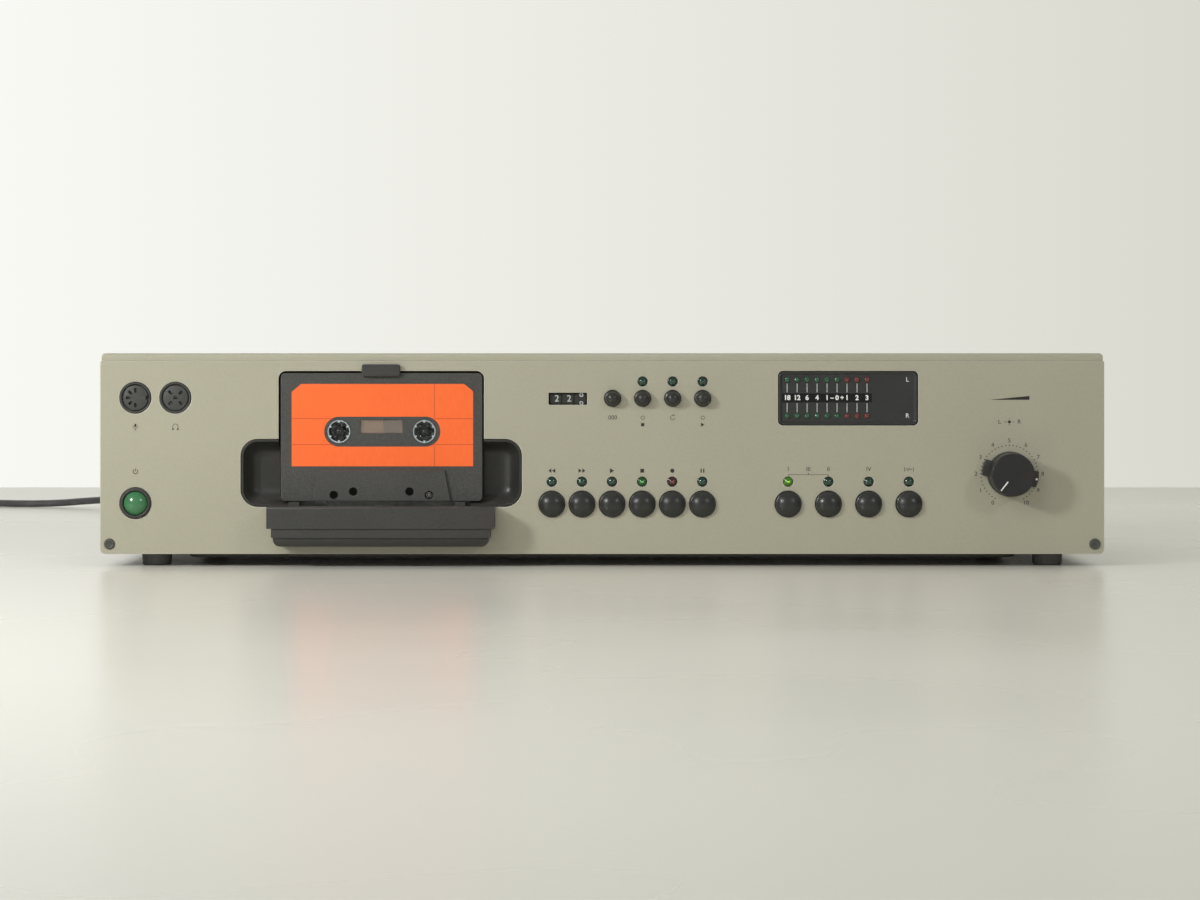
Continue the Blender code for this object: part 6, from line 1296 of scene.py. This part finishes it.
# Hubs: pale rings with six teeth, one of them full of tape; their depths count from the ring's front
hub = lengths(width=4.6, ring=((5.15, 4.6), (5.15, -1.6), (5.25, -1.75), (5.6, -1.75), (5.7, -1.6),
    (5.7, 0), (10.8, 0), (10.8, 4.6)), tooth=(4.4, 5.45, -0.45, 0.45, 0.25), toothDepths=(-1.7, 4.4, 0.1),
    tape=1.9, packBore=10.6, packs={"left": 22.2, "right": 11.2})
finishes["tapeBrown"] = surface("tapeBrown", (160, 118, 92), turnedLines(hubPlaces[0], 0.35 * mm, 0.2),
    roughness=0.55, specular=0.25, dust=0)
for side, (x, z) in zip(("left", "right"), hubPlaces):
    centre = sum(depths("cassette_hub_" + side)) / 2
    front = centre - hub["width"] / 2
    body = revolve([(radius, front + depth) for radius, depth in hub["ring"]], spot(x, 0, z), sides=72)
    toothFront, toothBack, edge = hub["toothDepths"]
    tooth = plate([rounded(*hub["tooth"], 3)], front + toothFront, front + toothBack, edge, 1, face=0)
    teeth = repeated(tooth, 6, spot(x, 0, z), turn=(0, math.radians(60), 0),
        firstTurn=(0, math.radians(30), 0))
    pack = revolve(band(hub["packBore"], hub["packs"][side], centre - hub["tape"], centre + hub["tape"]),
        spot(x, 0, z), sides=96)
    piece("tapeHub_" + side, joined([body, teeth], pack), "hubPlastic tapeBrown", "tape_pack_" + side,
        "cassette_hub_" + side)

# Spindles that drive the hubs: a core with six splines, a pointed nose and a rubber-tyred table behind
spindle = lengths(core=((0, 0.4), (0.7, 0.55), (1.6, 1.3), (2.5, 1.9), (2.9, 2.5), (2.9, 11.7), (2, 11.7)),
    shaft=2, tyre=12, tyreWidth=4, bend=0.4, spline=(2.5, 4.3, -0.5, 0.5, 0.3),
    splineDepths=(1.8, 11.7, 0.2))
for side, body in (("left", "supply_spindle"), ("right", "take_up_spindle")):
    x, z = middle("spindle_" + side)
    end = depths("spindle_" + side)[1]
    tyre, bend, front = spindle["tyre"], spindle["bend"], end - spindle["tyreWidth"]
    core = revolve(spindle["core"] + [(spindle["shaft"], front), (tyre - bend, front),
        (tyre, front + bend), (tyre, end - bend), (tyre - bend, end), (0, end)], spot(x, 0, z))
    spline = plate([rounded(*spindle["spline"], 3)], *spindle["splineDepths"], face=0)
    splines = repeated(spline, 6, spot(x, 0, z), turn=(0, math.radians(60), 0))
    piece("spindle_" + side + "Body", joined([core, splines]), "spindlePlastic", body, "spindle_" + side)
print("cassette and spindles built")

# Cassette well: one moulding with a dished finger recess on each side of the pocket
dish = lengths(rings=((0.8, -2), (1.0, 0.2), (1.3, 0.8), (2.2, 3.0), (3.6, 5.6), (5.2, 7.6), (6.8, 8.5),
    (8.8, 8.8)), corner=1.2, ear=4, block=1.8, pocketDrop=0.4, headHalf=44, headRise=4.2, hubHole=5.3,
    shaftHole=2.45, over=2)


def wellLiner():
    low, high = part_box("well_liner")
    gap, over = panel["gap"], dish["over"]
    half = shellHalf + well["clearance"]
    earHalf, corner = half + well["earReach"] - gap, well["earCorner"] - gap
    earLow = shellLow[2] - well["earDrop"] + gap
    earTop = earLow + well["earHeight"] - 2 * gap
    back, floor = high[1] - faceY, backHigh + gap
    block = plate([rounded(low[0], high[0], low[2], high[2], dish["block"])], panel["thickness"] + gap,
        back)
    ears = plate([around(earHalf, earLow, earTop, corner, 12, wellX)], 0, dish["ear"], 0.3 * mm)
    liner = carve(block, ears, operation="UNION")
    rings = []
    for inset, depth in dish["rings"]:
        radius = max(dish["corner"], corner - 0.75 * inset)
        outline = around(earHalf - inset, earLow + inset, earTop - inset, radius, 12, wellX)
        rings.append([spot(x, depth, z) for x, z in outline])
    pocket = plate([around(half, cassetteZ - dish["pocketDrop"], shellTop + well["top"], well["corner"], 8,
        wellX)], -over, floor)
    headSlot = plate([around(dish["headHalf"], low[2] - over, earLow + dish["headRise"], 0.5 * mm, 8,
        wellX)], -over, back + over)
    notch = plate([around(well["notch"], shellTop - mm, high[2] + over, 0.3 * mm, 8, wellX)], over,
        floor + 0.1 * mm)
    holes = [circle(x, z, dish["hubHole"]) for x, z in hubPlaces]
    holes.append(circle(*middle("flywheel"), dish["shaftHole"], 24))
    drills = [plate([hole], floor - over, back + over) for hole in holes]
    liner = carve(liner, pocket, loft(rings), headSlot, notch, *drills)
    piece("wellLining", liner, "linerPlastic", "deck", "well_liner", angle=40)


wellLiner()

# Head cover under the cassette, in three steps, with its two rest tabs
hood = lengths(top=30.4, step=19.6, waist=15.2, crease=14.2, back=0.9, middleInset=2.2, lowInset=3.0,
    shift=0.7, lowCorner=3.5, wall=1.6, chamfer=4, behind=-0.3, over=0.6, tabs=(-43.7, 38.7), tabHalf=2.6,
    tabFront=-6.2, tabDrop=0.3, tabFoot=0.8, opening=-4.1, openingHalf=44, inside=2)
# The groove under the crease, as depth behind the stepped face and height above the crease
hoodGroove = lengths(((0.3, 0.7), (1.0, 0.55), (1.0, 0.15), (0.5, 0)))


def prism(profile, centre, half):
    # The profile's (depth, height) points carried across the width
    return loft([[spot(centre + side * half, depth, z) for depth, z in profile] for side in (-1, 1)])


def headCover():
    low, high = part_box("head_cover")
    front, bottom = low[1] - faceY, low[2]
    half, centre = (high[0] - low[0]) / 2, wellX + hood["shift"]
    top, step, waist, crease, behind, over, wall, inside = [hood[key]
        for key in ("top", "step", "waist", "crease", "behind", "over", "wall", "inside")]
    stepped, under = front + hood["back"], front + hood["back"] + hood["chamfer"]
    brow = [(-depth, z) for depth, z in arc(-front - mm, top - mm, mm, 90, 0, 4)]
    upper = prism([(behind, step), (behind, top)] + brow + [(front, step)], centre, half)
    waisted = prism([(behind, waist), (behind, step + over), (stepped, step + over), (stepped, waist)],
        centre, half - hood["middleInset"])
    lowHalf, corner = half - hood["lowInset"], hood["lowCorner"]
    groove = [(stepped + depth, crease + rise) for depth, rise in hoodGroove]
    lower = prism([(behind, bottom), (behind, waist + over), (groove[0][0], waist + over)] + groove
        + [(under - 0.8 * mm, bottom + 0.4 * mm), (under, bottom)], centre, lowHalf)
    kept = plate([arc(centre - lowHalf + corner, bottom + corner, corner, 180, 270)
        + arc(centre + lowHalf - corner, bottom + corner, corner, 270, 360)
        + [(centre + lowHalf, waist + inside), (centre - lowHalf, waist + inside)]], front - inside, inside)
    mesh = carve(upper, waisted, carve(lower, kept, operation="INTERSECT"), operation="UNION")
    hollow = prism([(inside, bottom + wall), (inside, top - wall), (stepped + wall, top - wall),
        (stepped + wall, crease + 0.8 * mm), (under + 0.8 * mm, bottom + wall)], centre, lowHalf - 2 * wall)
    opening = prism([(hood["opening"], top - 2 * wall), (inside, top - 2 * wall), (inside, top + inside),
        (hood["opening"], top + inside)], centre, hood["openingHalf"])
    mesh = carve(mesh, hollow, opening)
    tabTop, tabFront, tabFoot = cassetteZ - hood["tabDrop"], hood["tabFront"], top - hood["tabFoot"]
    tabs = [prism([(tabFront, tabFoot), (tabFront, tabTop - 0.1 * mm), (tabFront + 0.4 * mm, tabTop),
        (mm, tabTop), (mm, tabFoot)], centre + x, hood["tabHalf"]) for x in hood["tabs"]]
    mesh = carve(mesh, *tabs, operation="UNION")
    piece("headCoverShell", soften(mesh, 0.25 * mm, 2, 40), "blackMoulding", "deck", "head_cover", angle=40)


headCover()

# Catch over the cassette's top edge, with its tongue
catch = lengths(corner=1.2, edge=0.5, tongueHalf=6.7, tongue=(0.9, 3), tongueCorner=0.3)
catchLow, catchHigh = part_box("cassette_catch")
catchFront, catchBack = depths("cassette_catch")
hook = plate([rounded(catchLow[0], catchHigh[0], catchLow[2], catchHigh[2], catch["corner"])], catchFront,
    shellFace - panel["gap"], catch["edge"], 3)
tongue = plate([around(catch["tongueHalf"], shellTop + catch["tongue"][0], shellTop + catch["tongue"][1],
    catch["tongueCorner"], 2, wellX)], catchFront / 2, catchBack)
piece("catchCap", carve(hook, tongue, operation="UNION"), "blackMoulding", "deck", "cassette_catch")
print("well, head cover and catch built")

# Printed marks, thin on the panel's face: generic symbols, drawn in millimetres about a place on a row, and
# numerals. The rows are heights above the floor.
marks = lengths(proud=0.05, sink=0.15, numeral=3.0, numberSize=2.9, numberCircle=16.6, dot=0.29,
    dotCircle=14.2)
rows = {"sound": 69.6, "power": 47.3, "keys": 47.7, "modes": 48.4, "bracket": 45.7, "small": 74.1,
    "smallLower": 70.6, "wedge": 83.9, "balance": 72.0}
dial = {"dots": 41, "dotStep": 7.5, "start": 240, "numberStep": 30}


def triangle(x, z, wide, high, way=1):
    return [(x - way * wide / 2, z - high / 2), (x + way * wide / 2, z), (x - way * wide / 2, z + high / 2)]


def square(x, z, wide, high):
    return [(x - wide / 2, z - high / 2), (x + wide / 2, z - high / 2), (x + wide / 2, z + high / 2),
        (x - wide / 2, z + high / 2)]


first, second = buttonX["tape_type_one"], buttonX["tape_type_two"]
between, span = (first + second) / 2, (second - first) / mm
microphoneX, headphoneX = middle("microphone_socket")[0], middle("headphone_socket")[0]
wave = [(-1.5 + 3 * i / 24, 0.7 * math.sin(math.pi * i / 6) * math.sin(math.pi * i / 24))
    for i in range(25)]
memory = stroke(circle(0, 0, 0.85, 20) + [(0.85, 0)], 0.24)
symbols = (
    (buttonX["rewind"], "keys", [triangle(side, 0, 1.5, 2.2, -1) for side in (-0.95, 0.95)]),
    (buttonX["fast_forward"], "keys", [triangle(side, 0, 1.5, 2.2) for side in (-0.95, 0.95)]),
    (buttonX["play"], "keys", [triangle(0, 0, 2.1, 2.4)]),
    (buttonX["stop"], "keys", [square(0, 0, 1.9, 1.9)]),
    (buttonX["record"], "keys", [circle(0, 0, 1.05, 24)]),
    (buttonX["pause"], "keys", [square(side, 0, 0.6, 2) for side in (-0.65, 0.65)]),
    (powerX, "power", [stroke(arc(0, 0, 1.15, 125, 415, 20), 0.34), square(0, 0.8, 0.34, 1.4)]),
    (microphoneX, "sound", [rounded(-0.5, 0.5, -0.2, 1.5, 0.49, 5),
                            stroke([(-1, 0.7)] + arc(0, 0, 1, 180, 360, 10) + [(1, 0.7)], 0.2),
                            square(0, -1.35, 0.22, 0.5), square(0, -1.7, 1.2, 0.2)]),
    (headphoneX, "sound", [stroke(arc(0, 0, 1.35, -30, 210, 20), 0.25)] + [
        rounded(side - 0.38, side + 0.38, -1.7, -0.75, 0.2, 3) for side in (-1.2, 1.2)]),
    (between, "bracket", [square(0, 0, span + 0.2, 0.2), square(-span / 2, -0.75, 0.2, 1.3),
                          square(span / 2, -0.75, 0.2, 1.3), circle(0, 0.5, 0.3, 12)]),
    (buttonX["noise_reduction"], "modes", [stroke(wave, 0.24)] + [
        square(side, 0, 0.24, 2.2) for side in (-2.2, 2.2)]),
    (buttonX["memory_stop"], "small", [memory]),
    (buttonX["memory_start"], "small", [memory]),
    (buttonX["memory_stop"], "smallLower", [square(0, 0, 1.6, 1.6)]),
    (buttonX["memory_start"], "smallLower", [triangle(0, 0, 1.7, 2)]),
    (buttonX["repeat"], "small", [stroke(arc(0, 0, 1.1, 70, 350, 20), 0.25),
                                  [(0.1, 1.75), (1.35, 1.05), (0.1, 0.4)]]),
    (knobX, "wedge", [[(-10, -0.9), (10, -0.9), (10, 1.0)]]),
    (knobX, "balance", [circle(0, 0, 0.75, 24)] + [square(side, 0, 1.5, 0.2) for side in (-1.9, 1.9)]
     + [square(0, side, 0.2, 0.8) for side in (-1.35, 1.35)]),
)
signs = (("I", first, "modes"), ("III", between, "modes"), ("II", second, "modes"),
    ("IV", buttonX["tape_type_four"], "modes"), ("000", buttonX["counter_reset"], "small"),
    ("L", knobX - 4.9 * mm, "balance"), ("R", knobX + 4.9 * mm, "balance"))


def panelMarks():
    proud, sink, reach = marks["proud"], marks["sink"], marks["numberCircle"]
    shapes = [[(x + across * mm, (rows[row] + up) * mm) for across, up in points] for x, row,
        drawn in symbols for points in drawn]
    parts = [plate(shapes, -proud, sink)]
    parts += [lettering(text, marks["numeral"], x, rows[row] * mm, sink, sink + proud) for text, x,
        row in signs]
    for number in range(11):
        a = math.radians(dial["start"] - dial["numberStep"] * number)
        parts.append(lettering(str(number), marks["numberSize"], knobX + reach * math.cos(a),
            knobZ + reach * math.sin(a), sink, sink + proud))
    dot = plate([circle(marks["dotCircle"], 0, marks["dot"], 12)], -proud, sink, face=0)
    parts.append(repeated(dot, dial["dots"], spot(knobX, 0, knobZ),
        turn=(0, math.radians(dial["dotStep"]), 0), firstTurn=(0, -math.radians(dial["start"]), 0)))
    piece("panelMarks", joined(parts), "printInk", "deck")


panelMarks()
print("marks printed")

# Inner nodes keep their CAD shapes and take finishes of their own
boardLook = dict(roughness=0.45, speckle=0.08)
finishes["mainBoardFinish"] = surface("mainBoardFinish", (44, 92, 58),
    boardParts(("Z", 8.2 * mm, 16 * mm, (34, 34, 36)), ("Z", 16 * mm, 60 * mm, (52, 58, 92)),
    ("Z", 60 * mm, 80 * mm, (150, 96, 58))), **boardLook)
finishes["controlBoardFinish"] = surface("controlBoardFinish", (44, 92, 58),
    boardParts(("Y", -1.0, faceY + 15 * mm, (46, 48, 46))), **boardLook)
innerLooks = {
    "mainBoardFinish": ("main_board",),
    "controlBoardFinish": ("control_board",),
    "zincSteel": ("transport_plate", "drive_motor", "head_carriage", "level_potentiometer"),
    "spunSteel": ("flywheel", "motor_pulley"),
    "softRubber": ("reel_wheel", "drive_belt", "pinch_roller"),
    "blackMoulding": ("counter_frame", "power_switch"),
}
for look, names in innerLooks.items():
    for name in names:
        for slot in nodes[name].material_slots:
            slot.material = finishes[look]

# Painted shade on the capstan's end: a dark sleeve covers it but for its turned centre
sleeve = lengths(((0.4, 0.1), (0.4, 0), (1.08, 0), (1.3, 0.25), (1.3, 2.5), (1.18, 2.5), (1.18, 0.1)))
tip = depths("flywheel")[0] - 0.05 * mm
capstanX, capstanZ = middle("flywheel")
piece("capstanSleeve", revolve([(radius, tip + depth) for radius, depth in sleeve],
    spot(capstanX, 0, capstanZ), sides=32), "spindlePlastic", "capstan")
print("inner nodes dressed")
